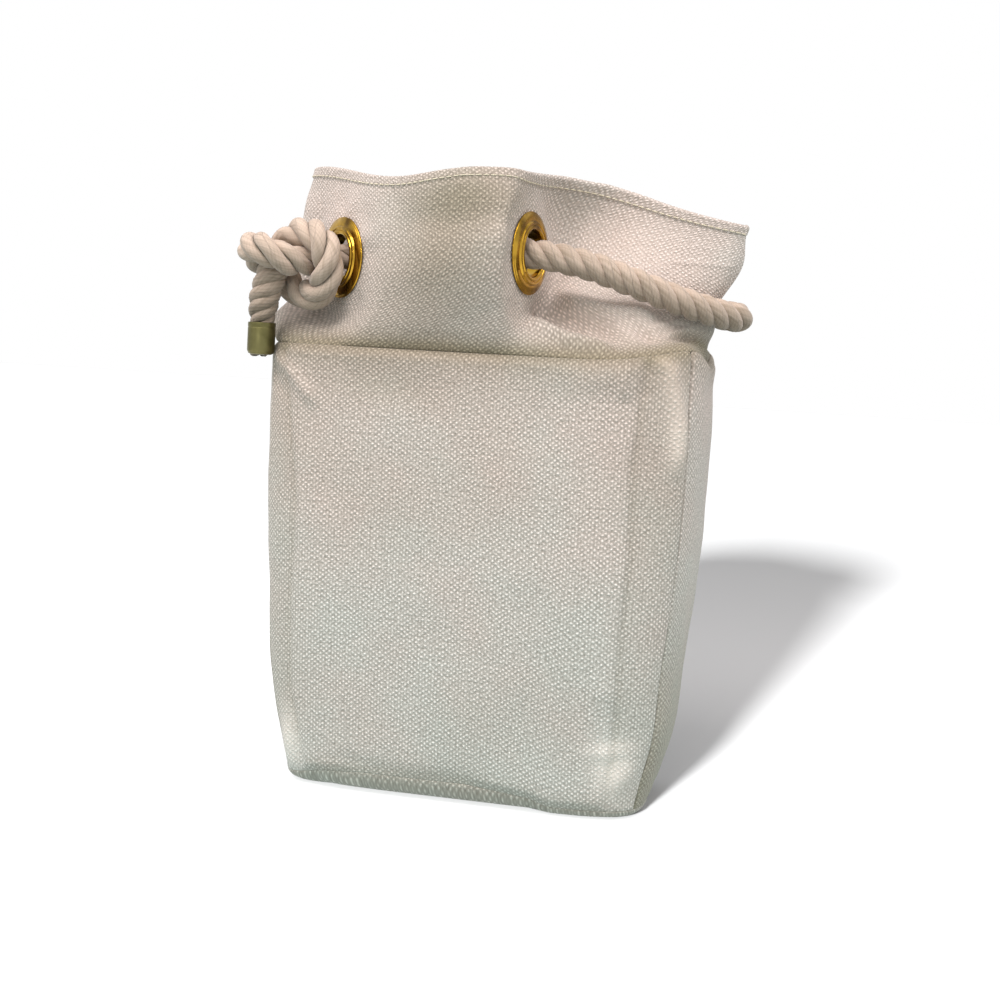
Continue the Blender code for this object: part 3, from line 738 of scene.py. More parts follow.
def turned_piece(name, profile, centre, axis, material, steps=TURNED_STEPS):
    """Radius r and height h become centre + r (cos a, sin a) in the plane of x and y, + h z."""
    x, y, z = axes_at(axis)
    profile = np.asarray(profile, float)
    around = np.linspace(0.0, 2 * math.pi, steps, endpoint=False)
    spokes = np.cos(around)[:, None] * x + np.sin(around)[:, None] * y
    points = centre + profile[:, 0, None, None] * spokes[None] + profile[:, 1, None, None] * z
    faces = grid_faces(len(profile), steps, wrap_columns=True).tolist()
    if np.allclose(profile[0], profile[-1]):
        points = points[:-1]
        faces = grid_faces(len(profile) - 1, steps, wrap_columns=True, wrap_rows=True).tolist()
    else:
        first = np.arange(steps)
        faces.append(first[::-1].tolist())
        faces.append((first + (len(profile) - 1) * steps).tolist())
    made = piece_from(name, points, faces, material=material)
    made.data.set_sharp_from_angle(angle=SHARP_ANGLE)
    return made


def arc(centre, radius, start, end, steps=7):
    """Profile points on a part of a circle, between two angles in degrees."""
    turn = np.radians(np.linspace(start, end, steps))
    return [(centre[0] + radius * math.cos(a), centre[1] + radius * math.sin(a)) for a in turn]


# %% [markdown]
# Polished brass is a metal whose own colour tints what it mirrors. Real pressed eyelets are never
# perfectly smooth, so slow ripples bend the reflections, and a thin brown film lies in places.

# %% Metal materials
def make_metal(name, bright, dull, roughness, ripple):
    material, tree, shader = new_material(name)
    place = object_place(tree)
    share = ramp(tree, noise(tree, place, 120.0, 3.0), ((0.42, 0.0), (0.74, 1.0)))
    tree.links.new(mix_colour(tree, share, bright, dull), shader.inputs["Base Color"])
    rough = math_node(tree, "MULTIPLY_ADD", share, 0.16, roughness)
    tree.links.new(rough, shader.inputs["Roughness"])
    add_bump(tree, shader, noise(tree, place, 130.0, 1.0), strength=ripple, distance=0.0008)
    shader.inputs["Metallic"].default_value = 1.0
    return material


brass = make_metal("polished_brass", linear(190, 150, 54), linear(92, 66, 14), 0.13, 0.36)
dull_brass = make_metal("dulled_brass", linear(108, 104, 68), linear(80, 77, 47), 0.38, 0.20)
print("metals:", brass.name, "and", dull_brass.name)

# %% [markdown]
# The knot is a real overhand knot: the route itself passes over and under. Its rope is pinched in
# the eyelet, swells in the knot where its lay has opened, is laid tightly again in the tail, and
# narrows where the tail goes into the metal cap.

# %% Knots with their tails and caps
TAIL_IN_CAP = 0.0100
CAP_WALL = 0.0005
PINCHED_SHARE = 0.92
SWOLLEN_SHARE = 1.06
TAIL_LENGTH = 0.050
TAIL_DARKENING = 0.42


def knot_radii(path):
    """Pinched in the eyelet, swollen in the knot, and eased down to the cap's bore at the tail."""
    along = distances_along(path)
    neck = CAP_DIAMETER / 2 - CAP_WALL - FIT
    swell = ease((along - STUB_LENGTH - 0.6 * ROPE) / (1.4 * ROPE))
    full = (PINCHED_SHARE + (SWOLLEN_SHARE - PINCHED_SHARE) * swell) * ROPE / 2
    return neck + (full - neck) * ease((along[-1] - along - TAIL_IN_CAP) / ROPE)


def knot_darkening(path):
    """Darker and darker along the tail, towards its cap."""
    along = distances_along(path)
    return TAIL_DARKENING * ease((along - along[-1] + TAIL_LENGTH) / (TAIL_LENGTH - TAIL_IN_CAP))


def knot_lay(path):
    """The length of a full turn of the strands: long in the knot and short in the tail."""
    along = distances_along(path)
    tail = ease((along - along[-1] + TAIL_LENGTH) / ROPE)
    return LOOSE_LAY_LENGTH + (TIGHT_LAY_LENGTH - LOOSE_LAY_LENGTH) * tail


def cap_profile():
    """The cup from its outer floor up the wall, over the lip and down to its inner floor."""
    outer, inner, floor = CAP_DIAMETER / 2, CAP_DIAMETER / 2 - CAP_WALL, -FIT - CAP_WALL
    corner, lip, lip_wall = 0.0022, floor + CAP_LENGTH, CAP_WALL / 2
    rounded = arc((outer - corner, floor + corner), corner, -90, 0, 9)
    rolled = arc((inner + lip_wall, lip - lip_wall), lip_wall, 0, 180, 7)
    bead = [(outer, lip - 0.0026), (outer - 0.00015, lip - 0.0022), (outer, lip - 0.0018)]
    return [(0.0004, floor)] + rounded + bead + rolled + [(inner, -FIT), (0.0004, -FIT)]


knot_path = even_path(knot_route())
for side, turn in SIDES.items():
    path = knot_path * turn
    cap = turned_piece("rope_end_cap_" + side, cap_profile(), path[-1], path[-2] - path[-1],
                       dull_brass)
    knot = laid_rope("knotted_rope_" + side, path, knot_radii(path), lay=knot_lay(path),
                     extra_dark=knot_darkening(path))
    for piece, node, slot in ((cap, "rope_cap_", "cap"), (knot, "rope_knot_", "rope")):
        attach(piece, side + "_knot")
        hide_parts(node + side)
print("knot rope length in mm:", round(1000 * distances_along(knot_path)[-1]))

# %% [markdown]
# The side loop is one free length of rope from the front right eyelet to the back one.

# %% Side loop
LOOP_DARKENING = 0.10
loop_path = even_path(loop_route())
loop = laid_rope("side_loop_rope", loop_path, np.full(len(loop_path), ROPE / 2), 0.6,
                 extra_dark=LOOP_DARKENING)
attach(loop, "side_loop")
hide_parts("rope_loop")
print("side loop length in mm:", round(1000 * distances_along(loop_path)[-1]))

# %% [markdown]
# Inside the collar the slack run joins a knot to the loop. It is made as two halves, one on the
# knot's side and one on the loop's.

# %% Inner runs
def make_inner_runs():
    path = even_path(inner_route())
    half = len(path) // 2
    for side, turn in SIDES.items():
        run = path * turn
        radii = np.full(len(run), ROPE / 2)
        to_knot = laid_rope("inner_rope_" + side + "_left", run[:half + 1], radii[:half + 1])
        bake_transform(to_knot)
        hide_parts("rope_inner_" + side)
        to_loop = laid_rope("inner_rope_" + side + "_right", run[half:], radii[half:])
        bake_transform(to_loop)
    return distances_along(path)[-1]


print("inner run length in mm:", round(1000 * make_inner_runs()))

# %% [markdown]
# ## The body
#
# The body is four canvas panels sewn round padding. In plan it is a rounded rectangle, written as
# a superellipse: |x / a|^5 + |y / b|^5 = 1. Going up, the half sizes a and b grow as a quarter of
# a sine wave, so the bag is narrowest at its foot. Because both grow alike, one outline of unit
# size serves every height: each row of a panel is that outline times the half sizes there.

# %% Body outline
BASE_WIDTH = 0.162
BASE_DEPTH = 0.084
WIDEST_HEIGHT = 0.150
BASE_EDGE_RADIUS = 0.012
CREASE_HEIGHT = 0.005
CREASE_DEPTH = 0.0018
SQUARENESS = 5.0
GUSSET_WIDTH = 0.070
EAR_HEIGHT = 0.006
EAR_REACH = 0.024
EAR_FALL = 0.030
TRAY_HEIGHT = 0.0045
SEAM_GAP = 0.0001
CANVAS = 0.0012
OUTLINE_POINTS = 4001
HALF = np.array([BODY_WIDTH / 2, BODY_DEPTH / 2])


def half_size(heights, radius=BASE_EDGE_RADIUS):
    """Half the width and depth at each height, with the foot's round edge and the top crease."""
    heights = np.asarray(heights, float)
    grown = np.sin(np.minimum(heights / WIDEST_HEIGHT, 1.0) * math.pi / 2)
    wide = (BASE_WIDTH + (BODY_WIDTH - BASE_WIDTH) * grown) / 2
    deep = (BASE_DEPTH + (BODY_DEPTH - BASE_DEPTH) * grown) / 2
    rise = np.maximum(radius - heights, 0.0)
    inset = radius - np.sqrt(radius**2 - rise**2)
    above = np.clip((heights - BODY_HEIGHT + CREASE_HEIGHT) / CREASE_HEIGHT, 0.0, 1.0)
    inset = inset + CREASE_DEPTH * (1 - np.sqrt(1 - above**2))
    return wide - inset, deep - inset


def superellipse(wide, deep, angles):
    """Points at polar angles on |x / wide|^n + |y / deep|^n = 1, where n is the squareness."""
    across, along = np.cos(angles), np.sin(angles)
    reach = np.abs(across / wide) ** SQUARENESS + np.abs(along / deep) ** SQUARENESS
    return np.stack([across, along], -1) * (reach ** (-1 / SQUARENESS))[..., None]


def corner_angle():
    """The polar angle of the right rear corner seam on the full-size outline."""
    angles = np.linspace(0.0, math.pi / 2, 2000)
    return float(np.interp(GUSSET_WIDTH / 2, superellipse(*HALF, angles)[:, 1], angles))


CORNER = corner_angle()
print("corner seams at", round(math.degrees(CORNER), 1), "degrees")

# %% [markdown]
# A grid's columns don't lie at even distances. Near a seam the cloth bends sharply, so there they
# lie close together, and further in a wider step saves faces.

# %% Columns of a grid
def spaced(length, step, edge):
    """Places along a length: close together near both ends, and a step apart in between."""
    near = edge * np.linspace(0.0, 1.0, 9) ** 1.5
    middle = np.linspace(edge, length - edge, max(int((length - 2 * edge) / step), 2))
    return np.concatenate((near[:-1], middle, length - near[:-1][::-1]))


def outline_between(start, end, step, edge):
    """The outline between two polar angles, at spaced distances, as shares of the half sizes."""
    curve = superellipse(*HALF, np.linspace(start, end, 4000))
    length = distances_along(curve)[-1]
    places = spaced(length - SEAM_GAP, step, edge) + SEAM_GAP / 2
    return resampled(curve, places / length) / HALF


# %% [markdown]
# Each edge of a panel turns inwards at its seam, over a small radius. That gives a soft V groove
# between two panels, as sewn cloth has, and no edge ever looks cut off. Relief comes on top:
# a panel is pushed out where padding fills it, falls off past the edge of the pad, and has dents
# and puckers at the places where the photograph shows them.

# %% Cloth helpers
EDGE_ROLL = 0.0012


def turned_in(distance, radius=EDGE_ROLL):
    """How far the cloth has turned in at a distance from its edge: a quarter of a circle."""
    left = np.clip(radius - distance, 0.0, radius)
    return radius - np.sqrt(radius**2 - left**2)


def cloth_uv(points):
    """Distances along each row from its middle, and up the middle column, in metres."""
    across = np.linalg.norm(np.diff(points, axis=1), axis=2)
    across = np.concatenate((np.zeros((len(points), 1)), np.cumsum(across, 1)), 1)
    across -= across[:, across.shape[1] // 2][:, None]
    upward = distances_along(points[:, points.shape[1] // 2])
    return np.stack((across, np.broadcast_to(upward[:, None], across.shape)), -1)


def from_edges(uv):
    """Each point's distance from the nearer side edge, from the lowest and from the top row."""
    across, up = uv[..., 0], uv[..., 1]
    side = np.minimum(across - across[:, :1], across[:, -1:] - across)
    return side, up - up[0, 0], up[-1, 0] - up


def raised_ears(points, share):
    """Lifts cloth near the two right-hand top corners, by exp(-(distance / reach)^2)."""
    across = points[..., 0] - (BODY_WIDTH / 2 - CREASE_DEPTH)
    along = np.abs(points[..., 1]) - GUSSET_WIDTH / 2
    near = np.hypot(across, along) / EAR_REACH
    raised = points.copy()
    raised[..., 2] += EAR_HEIGHT * share * np.exp(-near * near)
    return raised


# %% [markdown]
# A panel's grid comes from the outline between two corner seams. Its lowest row follows the foot
# seam, which arches up in front, and its highest one ends in the crease under the collar.

# %% Panel builder
PANEL_STEP = 0.00098
EDGE_SPACING = 0.004
LEFT_SWELL = (0.0027, 0.047, 0.032)
RIGHT_SWELL = (0.0020, 0.037, 0.019)
SWELL_START = 0.014
VALLEY_ROLL = 0.0014
VALLEY_START = 0.148
VALLEY_EASE = 0.030
FOOT_ROLL = 0.0006


def foot_line(unit_plan):
    """Along the foot: the level of the seam with the tray, and the radius of the rounded edge.

    In front the seam arches up between the corners. At the right, past a small tuck, the cloth
    reaches lower and its edge is tighter.
    """
    x, front = unit_plan[:, 0], ease(-unit_plan[:, 1] / 0.25)
    arch = np.interp(x, (-0.95, -0.74, -0.5, 0.08, 0.42, 0.52), (0.0, 3.6, 5.4, 5.6, 2.2, -0.6))
    level = TRAY_HEIGHT + SEAM_GAP / 2 + front * arch * 0.001
    radius = 0.001 * np.interp(x, (-1.0, -0.92, -0.80, 0.46, 0.57, 0.85, 1.0),
                               (5.0, 8.0, 13.0, 13.0, 8.0, 7.0, 5.0))
    return level, BASE_EDGE_RADIUS + front * (radius - BASE_EDGE_RADIUS)


def panel_grid(start, end, relief, axis):
    """Rows of the outline from the tray's seam to the crease, moved out by the relief.

    Low down on both sides the real bag hangs out a little: a swell is a reach, the height of its
    middle and its spread. High up at the right the corner seams lie in deeper valleys.
    """
    unit_plan = outline_between(start, end, PANEL_STEP, EDGE_SPACING)
    low, radius = foot_line(unit_plan)
    height = BODY_HEIGHT - low.min()
    rows = spaced(height, PANEL_STEP, EDGE_SPACING) / height
    heights = low + (BODY_HEIGHT - low) * rows[:, None]
    wide, deep = half_size(heights, radius)
    for side, (reach, middle, spread) in ((-1, LEFT_SWELL), (1, RIGHT_SWELL)):
        swell = reach * bell(heights, middle, spread) * ease(heights / SWELL_START)
        wide = wide + swell * ease(side * unit_plan[:, 0])
    points = np.stack((unit_plan[:, 0] * wide, unit_plan[:, 1] * deep, heights), -1)
    points = raised_ears(points, ease((points[..., 2] - BODY_HEIGHT + EAR_FALL) / EAR_FALL))
    uv = cloth_uv(points)
    from_side, from_foot, from_top = from_edges(uv)
    high = ease((points[..., 2] - VALLEY_START) / VALLEY_EASE)
    high = high * ease(points[..., 0] / HALF[0] - 0.2)
    seams = turned_in(from_side, EDGE_ROLL + VALLEY_ROLL * high) + turned_in(from_foot, FOOT_ROLL)
    inner = ease(from_side / 0.004) * ease(from_foot / 0.005) * ease(from_top / 0.005)
    push = relief(points[..., axis], points[..., 2]) * inner - seams
    return points + outward_normals(points) * push[..., None], uv


# %% [markdown]
# ## What pads and wear do to the panels
#
# The pads inside stop short of the corner seams, so their edges show through as long soft steps.
# A step is an eased rise with a shallow crease at its foot, and its slight waviness comes from the
# chosen points of its line. Lines and dents are placed by x and z, as seen from the front. Close
# under the seam the cloth puckers, since the gathered collar pulls at it.

# %% Relief of the front and back
PAD_EDGE_LEFT = (
    (-0.0815, 0.190), (-0.0797, 0.171), (-0.0741, 0.128), (-0.0758, 0.084), (-0.0747, 0.043),
    (-0.0676, 0.012),
)
PAD_EDGE_RIGHT = (
    (0.0732, 0.193), (0.0727, 0.168), (0.0710, 0.152), (0.0724, 0.114), (0.0702, 0.080),
    (0.0702, 0.054), (0.0694, 0.028), (0.066, 0.010),
)
EAR_FOLD = ((0.074, 0.204), (0.0835, 0.193), (0.0885, 0.172), (0.0895, 0.145))
FRONT_RIDGES = (
    (0.0022, ((-0.094, 0.194), (-0.077, 0.182), (-0.064, 0.168)), 0.0030),
    (-0.0012, ((0.0745, 0.203), (0.0745, 0.191), (0.0738, 0.178)), 0.0026),
    (0.0034, EAR_FOLD, 0.0034),
    (0.0014, ((0.0660, 0.204), (0.0672, 0.192), (0.0655, 0.178)), 0.0030),
    (-0.0009, ((-0.062, 0.017), (-0.03, 0.012), (0.02, 0.013)), 0.004),
)
FRONT_DENTS = (
    (-0.0014, (-0.036, 0.181), (0.024, 0.009), -6),
    (-0.0012, (-0.0870, 0.178), (0.0085, 0.0032), -50),
    (0.0016, (0.056, 0.189), (0.018, 0.006), 4),
    (0.0018, (-0.0765, 0.018), (0.0035, 0.012), 6),
    (0.0028, (0.0745, 0.021), (0.0048, 0.009), -25),
    (0.0014, (0.0690, 0.031), (0.010, 0.0035), 8),
    (0.0008, (0.0655, 0.057), (0.007, 0.006), 0),
)
BACK_RIDGES = ((0.0014, ((0.074, 0.203), (0.083, 0.190), (0.087, 0.172)), 0.0035),)
BACK_DENTS = (
    (-0.0014, (-0.030, 0.178), (0.028, 0.009), 5),
    (0.0012, (-0.0745, 0.020), (0.004, 0.011), 0),
    (0.0012, (0.0745, 0.024), (0.005, 0.010), 20),
)
GUSSET_DENTS = (
    (-0.0012, (0.0, 0.186), (0.020, 0.006), 0),
    (-0.0008, (0.006, 0.060), (0.012, 0.030), 0),
)
GUSSET_CROWN = 0.033
PAD_RISE = 0.0018
PAD_CREASE = (-0.0008, 0.0016)
print("folds in front:", len(FRONT_RIDGES), "ridges and", len(FRONT_DENTS), "dents")

# %% [markdown]
# The tables now become functions of the place on the cloth, across and up. The front and the back
# share one recipe and differ in their tables. The gussets have a rounded crown instead.

# %% Relief as functions
def pad_step(across, up, line, side, width=0.0045):
    """1 over the pad and 0 beyond its edge line: an eased step across the line."""
    line = np.asarray(line)
    order = np.argsort(line[:, 1])
    edge = np.interp(up, line[order, 1], line[order, 0])
    return 1.0 - ease(side * (across - edge) / width + 0.5)


def crumples(across, up, seed):
    """Three sizes of lumps, the smallest the shallowest, and puckers under the seam."""
    near_seam = bell(up, BODY_HEIGHT, 0.010)
    return (
        0.00066 * lumps(across, up, 0.034, seed) + 0.00024 * lumps(across, up, 0.015, seed + 1)
        + 0.00007 * lumps(across, up, 0.006, seed + 2)
        + 0.00060 * lumps(across, 0.3 * up, 0.007, seed + 3) * near_seam
    )


def padded_middle(across, up):
    """The pad's plateau between its two edge lines, and the crease along each of them."""
    pad = pad_step(across, up, PAD_EDGE_LEFT, -1) * pad_step(across, up, PAD_EDGE_RIGHT, 1)
    depth, width = PAD_CREASE
    creases = sum(ridge(across, up, line, width, 0.08) for line in (PAD_EDGE_LEFT, PAD_EDGE_RIGHT))
    return PAD_RISE * pad + depth * creases


def wide_relief(ridges, dents, seed):
    """The relief of the front or the back: its pad, its lumps and its own tables of folds."""

    def relief(across, up):
        height = padded_middle(across, up) + crumples(across, up, seed)
        return height + formed(across, up, ridges, dents)

    return relief


def gusset_relief(seed):
    """A gusset is pushed out by its own pad, and creased a little below the collar."""

    def relief(across, up):
        crown = np.clip(1.0 - (across / GUSSET_CROWN) ** 2, 0.0, 1.0)
        height = 0.0016 * crown * ease(up / 0.03) + crumples(across, up, seed)
        return height + formed(across, up, dents=GUSSET_DENTS)

    return relief


# %% [markdown]
# Each panel's flat size, the size it was cut to, is worked out from its UV map. Solidify gives the
# cloth its wall on the inside, where the pads lie. Three marks go with the points, for the
# material:
# painted shade with faint stains, painted highlight on lit bulges, and a painted tint of the
# light.

# %% Body panels
# Painted highlight on places that face the light: the fold at the top right and two low corners.
HIGHLIGHT_RIDGES = ((0.8, EAR_FOLD, 0.0045),)
HIGHLIGHT_DENTS = (
    (1.0, (0.0695, 0.024), (0.0078, 0.013), 12),
    (0.9, (-0.0765, 0.020), (0.006, 0.015), 6),
)


def sheet_facts(uv):
    """The flat size of a cloth piece: the longest row by the longest column of its UV map."""
    return float(np.ptp(uv[..., 0], axis=1).max()), float(np.ptp(uv[..., 1]))


def panel_shade_and_stain(points, uv, name):
    """Painted shade under the seam, along the foot, low on the gussets and by the pads, and
    stains.
    """
    across, height = points[..., 0], points[..., 2]
    _, from_foot, from_top = from_edges(uv)
    # Painted shade under the collar's overhang.
    shade_and_stain = 0.45 * bell(from_top, 0.0, 0.0050) + 0.30 * bell(from_top, 0.0, 0.013)
    # Faint random stains.
    shade_and_stain += 0.09 * lumps(across + points[..., 1], height, 0.042, 91)
    between = ease((0.072 - np.abs(across)) / 0.012)
    # Painted shade along the foot seam.
    shade_and_stain += 0.30 * bell(from_foot, 0.0, 0.0060) * between
    if name in ("left_gusset", "right_gusset"):
        # Painted shade low on the gussets.
        shade_and_stain += 0.75 * ease(1.0 - height / 0.13)
    if name in ("front_panel", "back_panel"):
        pad = 1.0
        for line, side in ((PAD_EDGE_LEFT, -1), (PAD_EDGE_RIGHT, 1)):
            pad = pad * pad_step(across, height, line, side)
            # Painted shade along each pad's edge.
            shade_and_stain += 0.16 * ridge(across, height, line, 0.0018, 0.10)
        # Painted shade beside the pads, where the cloth turns away from the light.
        shade_and_stain += 0.14 * (1.0 - pad) * ease(height / 0.05)
    if name == "front_panel":
        # Painted shadow of the collar on a patch under the seam, then darker over the upper front.
        shade_and_stain += 0.28 * dent(across, height, (-0.034, 0.179), (0.026, 0.010), -0.1)
        shade_and_stain += 0.13 * ease((height - 0.10) / 0.06)
    return np.clip(shade_and_stain, 0.0, 1.0)


def panel_painted_highlight(points, name):
    """Painted highlight on the bulges of the front's two low corners and on the fold at its top
    right.
    """
    across, height = points[..., 0], points[..., 2]
    if name != "front_panel":
        return np.zeros(across.shape)
    return np.clip(formed(across, height, HIGHLIGHT_RIDGES, HIGHLIGHT_DENTS), 0.0, 1.0)


panels = {
    "front_panel": (math.pi + CORNER, 2 * math.pi - CORNER,
                    wide_relief(FRONT_RIDGES, FRONT_DENTS, 11), 0),
    "back_panel": (CORNER, math.pi - CORNER, wide_relief(BACK_RIDGES, BACK_DENTS, 31), 0),
    "right_gusset": (-CORNER, CORNER, gusset_relief(51), 1),
    "left_gusset": (math.pi - CORNER, math.pi + CORNER, gusset_relief(71), 1),
}
for name, (start, end, relief, axis) in panels.items():
    points, uv = panel_grid(start, end, relief, axis)
    # Painted light: the third mark tints the cloth pinker towards the collar and greener towards
    # the foot.
    marks = {"shade_and_stain": panel_shade_and_stain(points, uv, name), "painted_highlight": panel_painted_highlight(points, name),
             "painted_light_tint": (points[..., 2] / BODY_HEIGHT) ** 1.4}
    panel = piece_from("canvas_" + name, points, grid_faces(*points.shape[:2]), uv, canvas, marks)
    give_wall(panel, CANVAS)
    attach(panel, "bag")
    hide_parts(name)
    print(name, "grid:", points.shape[:2], "flat size in mm:",
          [round(1000 * side) for side in sheet_facts(uv)])

# %% [markdown]
# ## The foot
#
# The base is a shallow tray of the same canvas: flat underneath, with a rim that turns up to the
# panels. Its rim shows in front as a narrow rolled strip, so it swells out a little there, and its
# top edge turns in behind the panels, which closes the seam.

# %% Base tray
SEAM_TUCK = 0.0010
TRAY_COLUMNS = 540
TRAY_SWELL = 0.0004
TRAY_ROLL = 0.0016
TRAY_SHADE = 0.4


def ring_stack(name, rings, material, cap_top=False, extras=None):
    """Closed rings of points, stacked outwards or upwards, with the first one filled."""
    count = rings.shape[1]
    faces = grid_faces(rings.shape[0], count, wrap_columns=True).tolist()
    faces.append(np.arange(count)[::-1].tolist())
    if cap_top:
        faces.append((np.arange(count) + (rings.shape[0] - 1) * count).tolist())
    uv = rings[..., :2] + np.stack([np.zeros(rings.shape[:2]), rings[..., 2]], -1)
    return piece_from(name, rings, faces, uv, material, extras)


def tray_rings():
    """Flat rings that ease from a plain outline to the foot's own, then rows up the rim."""
    around = superellipse(*HALF, np.linspace(0.0, 2 * math.pi, OUTLINE_POINTS))
    plan = resampled(around, np.linspace(0.0, 1.0, TRAY_COLUMNS + 1)[:-1]) / HALF
    top, radius = foot_line(plan)
    rise = top + SEAM_TUCK
    shares = np.concatenate((np.linspace(0.15, 0.9, 54), np.linspace(0.91, 1.0, 12)))
    flat = []
    for share in shares:
        own = BASE_EDGE_RADIUS + (radius - BASE_EDGE_RADIUS) * ease((share - 0.5) / 0.5)
        foot = plan * np.stack(half_size(0.0 * top, own), -1)
        flat.append(np.column_stack((foot * share, 0.0 * top)))
    wall = []
    for share in np.linspace(0.0, 1.0, 26)[1:]:
        height = rise * share
        swell = TRAY_SWELL * math.sin(math.pi * share) - turned_in(rise - height, TRAY_ROLL)
        size = np.stack(half_size(height, radius), -1) + swell[:, None]
        wall.append(np.column_stack((plan * size, height)))
    return np.array(flat + wall)


rings = tray_rings()
# Painted shade: the whole tray is darkened evenly, as its strip lies in shade at the foot.
tray_marks = {"shade_and_stain": np.full(rings.shape[:2], TRAY_SHADE)}
tray = ring_stack("canvas_base_tray", rings, canvas, extras=tray_marks)
give_wall(tray, CANVAS)
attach(tray, "bag")
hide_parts("base_panel")
print("tray rings:", rings.shape[:2])

# %% [markdown]
# ## The collar
#
# Above the seam the cloth is single, and the rope draws it in. Its plan changes on the way up:
# a parabola runs through the seam's outline, the cinch half way up and the rim. The two outlines
# higher up are curves through chosen points, in shares of half the body's width and depth, as in
# the construction model. Under each eyelet the cloth lies flat.

# %% Collar outline
COLLAR_HEIGHT = 0.077
COLLAR_TIP_DROP = 0.0172
COLLAR_DIP = 0.0054
COLLAR_DIP_WIDTH = 0.036
DIP_PLACE_SHARE = 0.50
RIM_FALL_SHARES = (0.20, 1.10)
RIM_RISE_SHARES = (0.40, 0.90)
FLAT_RADIUS = 0.026
FLAT_EASE = 0.0175
CINCH_PLAN_SHARES = (
    (1.00, 0.0), (0.95, -0.14), (0.83, -0.25), (0.63, -0.30), (0.46, -0.22), (0.345, -0.20),
    (0.28, -0.36), RIGHT_SHARES, (0.185, -1.06), (0.06, -1.17), (-0.22, -1.18),
    (-0.42, -1.04), (-0.54, -0.88), LEFT_SHARES, (-0.83, -0.45), (-0.96, -0.20),
    (-0.995, 0.0),
)
RIM_PLAN_SHARES = (
    (1.135, 0.0), (1.07, -0.12), (0.93, -0.22), (0.70, -0.26), (0.50, -0.24), (0.38, -0.28),
    (0.31, -0.44), (0.255, -0.70), (0.18, -0.93), (0.04, -1.02), (-0.22, -1.03),
    (-0.43, -0.92), (-0.56, -0.76), (-0.70, -0.56), (-0.82, -0.36), (-0.90, -0.15),
    (-0.915, 0.0),
)
EYELETS = {
    "left": (LEFT_EYELET, level(LEFT_TURN)),
    "right": (RIGHT_EYELET, level(RIGHT_TURN)),
}
print("collar plan points:", len(CINCH_PLAN_SHARES), "and", len(RIM_PLAN_SHARES))

# %% [markdown]
# The rim isn't level: it dips between the eyelets and falls to the right-hand tip. Round each
# eyelet the cloth is pressed flat, because the flange clamps it.

# %% Collar shape
def rim_height(x):
    """Level at the left, a shallow dip before the left eyelet, and a fall to the right tip."""
    start, end = RIM_FALL_SHARES
    fall = COLLAR_TIP_DROP * ease((x / (RIM_PLAN_SHARES[0][0] * HALF[0]) - start) / (end - start))
    dip_at = LEFT_EYELET[0] * DIP_PLACE_SHARE
    dip = COLLAR_DIP * bell(x, dip_at, COLLAR_DIP_WIDTH)
    start, end = RIM_RISE_SHARES
    left = COLLAR_DIP / 2 * ease((-x / HALF[0] - start) / (end - start))
    return BODY_HEIGHT + COLLAR_HEIGHT - fall - dip + left


def flattened(points):
    """Lays the cloth flat round each eyelet, easing back to its own shape further out."""
    for centre, axis in EYELETS.values():
        away = (points - centre) @ axis
        radius = np.linalg.norm(points - centre, axis=-1)
        hold = 1.0 - ease((radius - FLAT_RADIUS) / FLAT_EASE)
        points = points - (hold * away)[..., None] * axis
    return points


def collar_plan(up, shares):
    """The front half's points for each height share, from left to right."""
    ring = superellipse(*half_size(BODY_HEIGHT), np.linspace(-math.pi, 0.0, 4000))
    tables = [np.array(table[::-1]) * HALF for table in (CINCH_PLAN_SHARES, RIM_PLAN_SHARES)]
    curves = [ring] + [splined(table, 3000) for table in tables]
    for curve in curves:
        curve[:, 1] = np.minimum(curve[:, 1], -SEAM_GAP / 2)
    seam, cinch, rim = (resampled(curve, shares) for curve in curves)
    lift = up[:, None, None]
    plan = seam + lift * (4 * cinch - 3 * seam - rim) + 2 * lift**2 * (seam - 2 * cinch + rim)
    low = BODY_HEIGHT + SEAM_GAP / 2
    height = low + up[:, None] * (rim_height(rim[:, 0]) - low)[None]
    points = np.concatenate((plan, height[..., None]), -1)
    points = raised_ears(points, 1.0 - ease((height - BODY_HEIGHT) / (COLLAR_HEIGHT / 2)))
    moved = flattened(points)
    moved[0] = points[0]
    return moved


print("rim height in mm at the left end, the middle and the tip:",
      [round(1000 * float(rim_height(x))) for x in (-HALF[0], 0.0, HALF[0])])


# %% [markdown]
# The collar's folds are drawn as lines on the unrolled cloth: the distance along it from the left
# end, and the height above the seam. Each one adds a rounded ridge or valley along its line. Small
# puckers run away from the flanges, where the pressed eyelet pulls at the cloth.

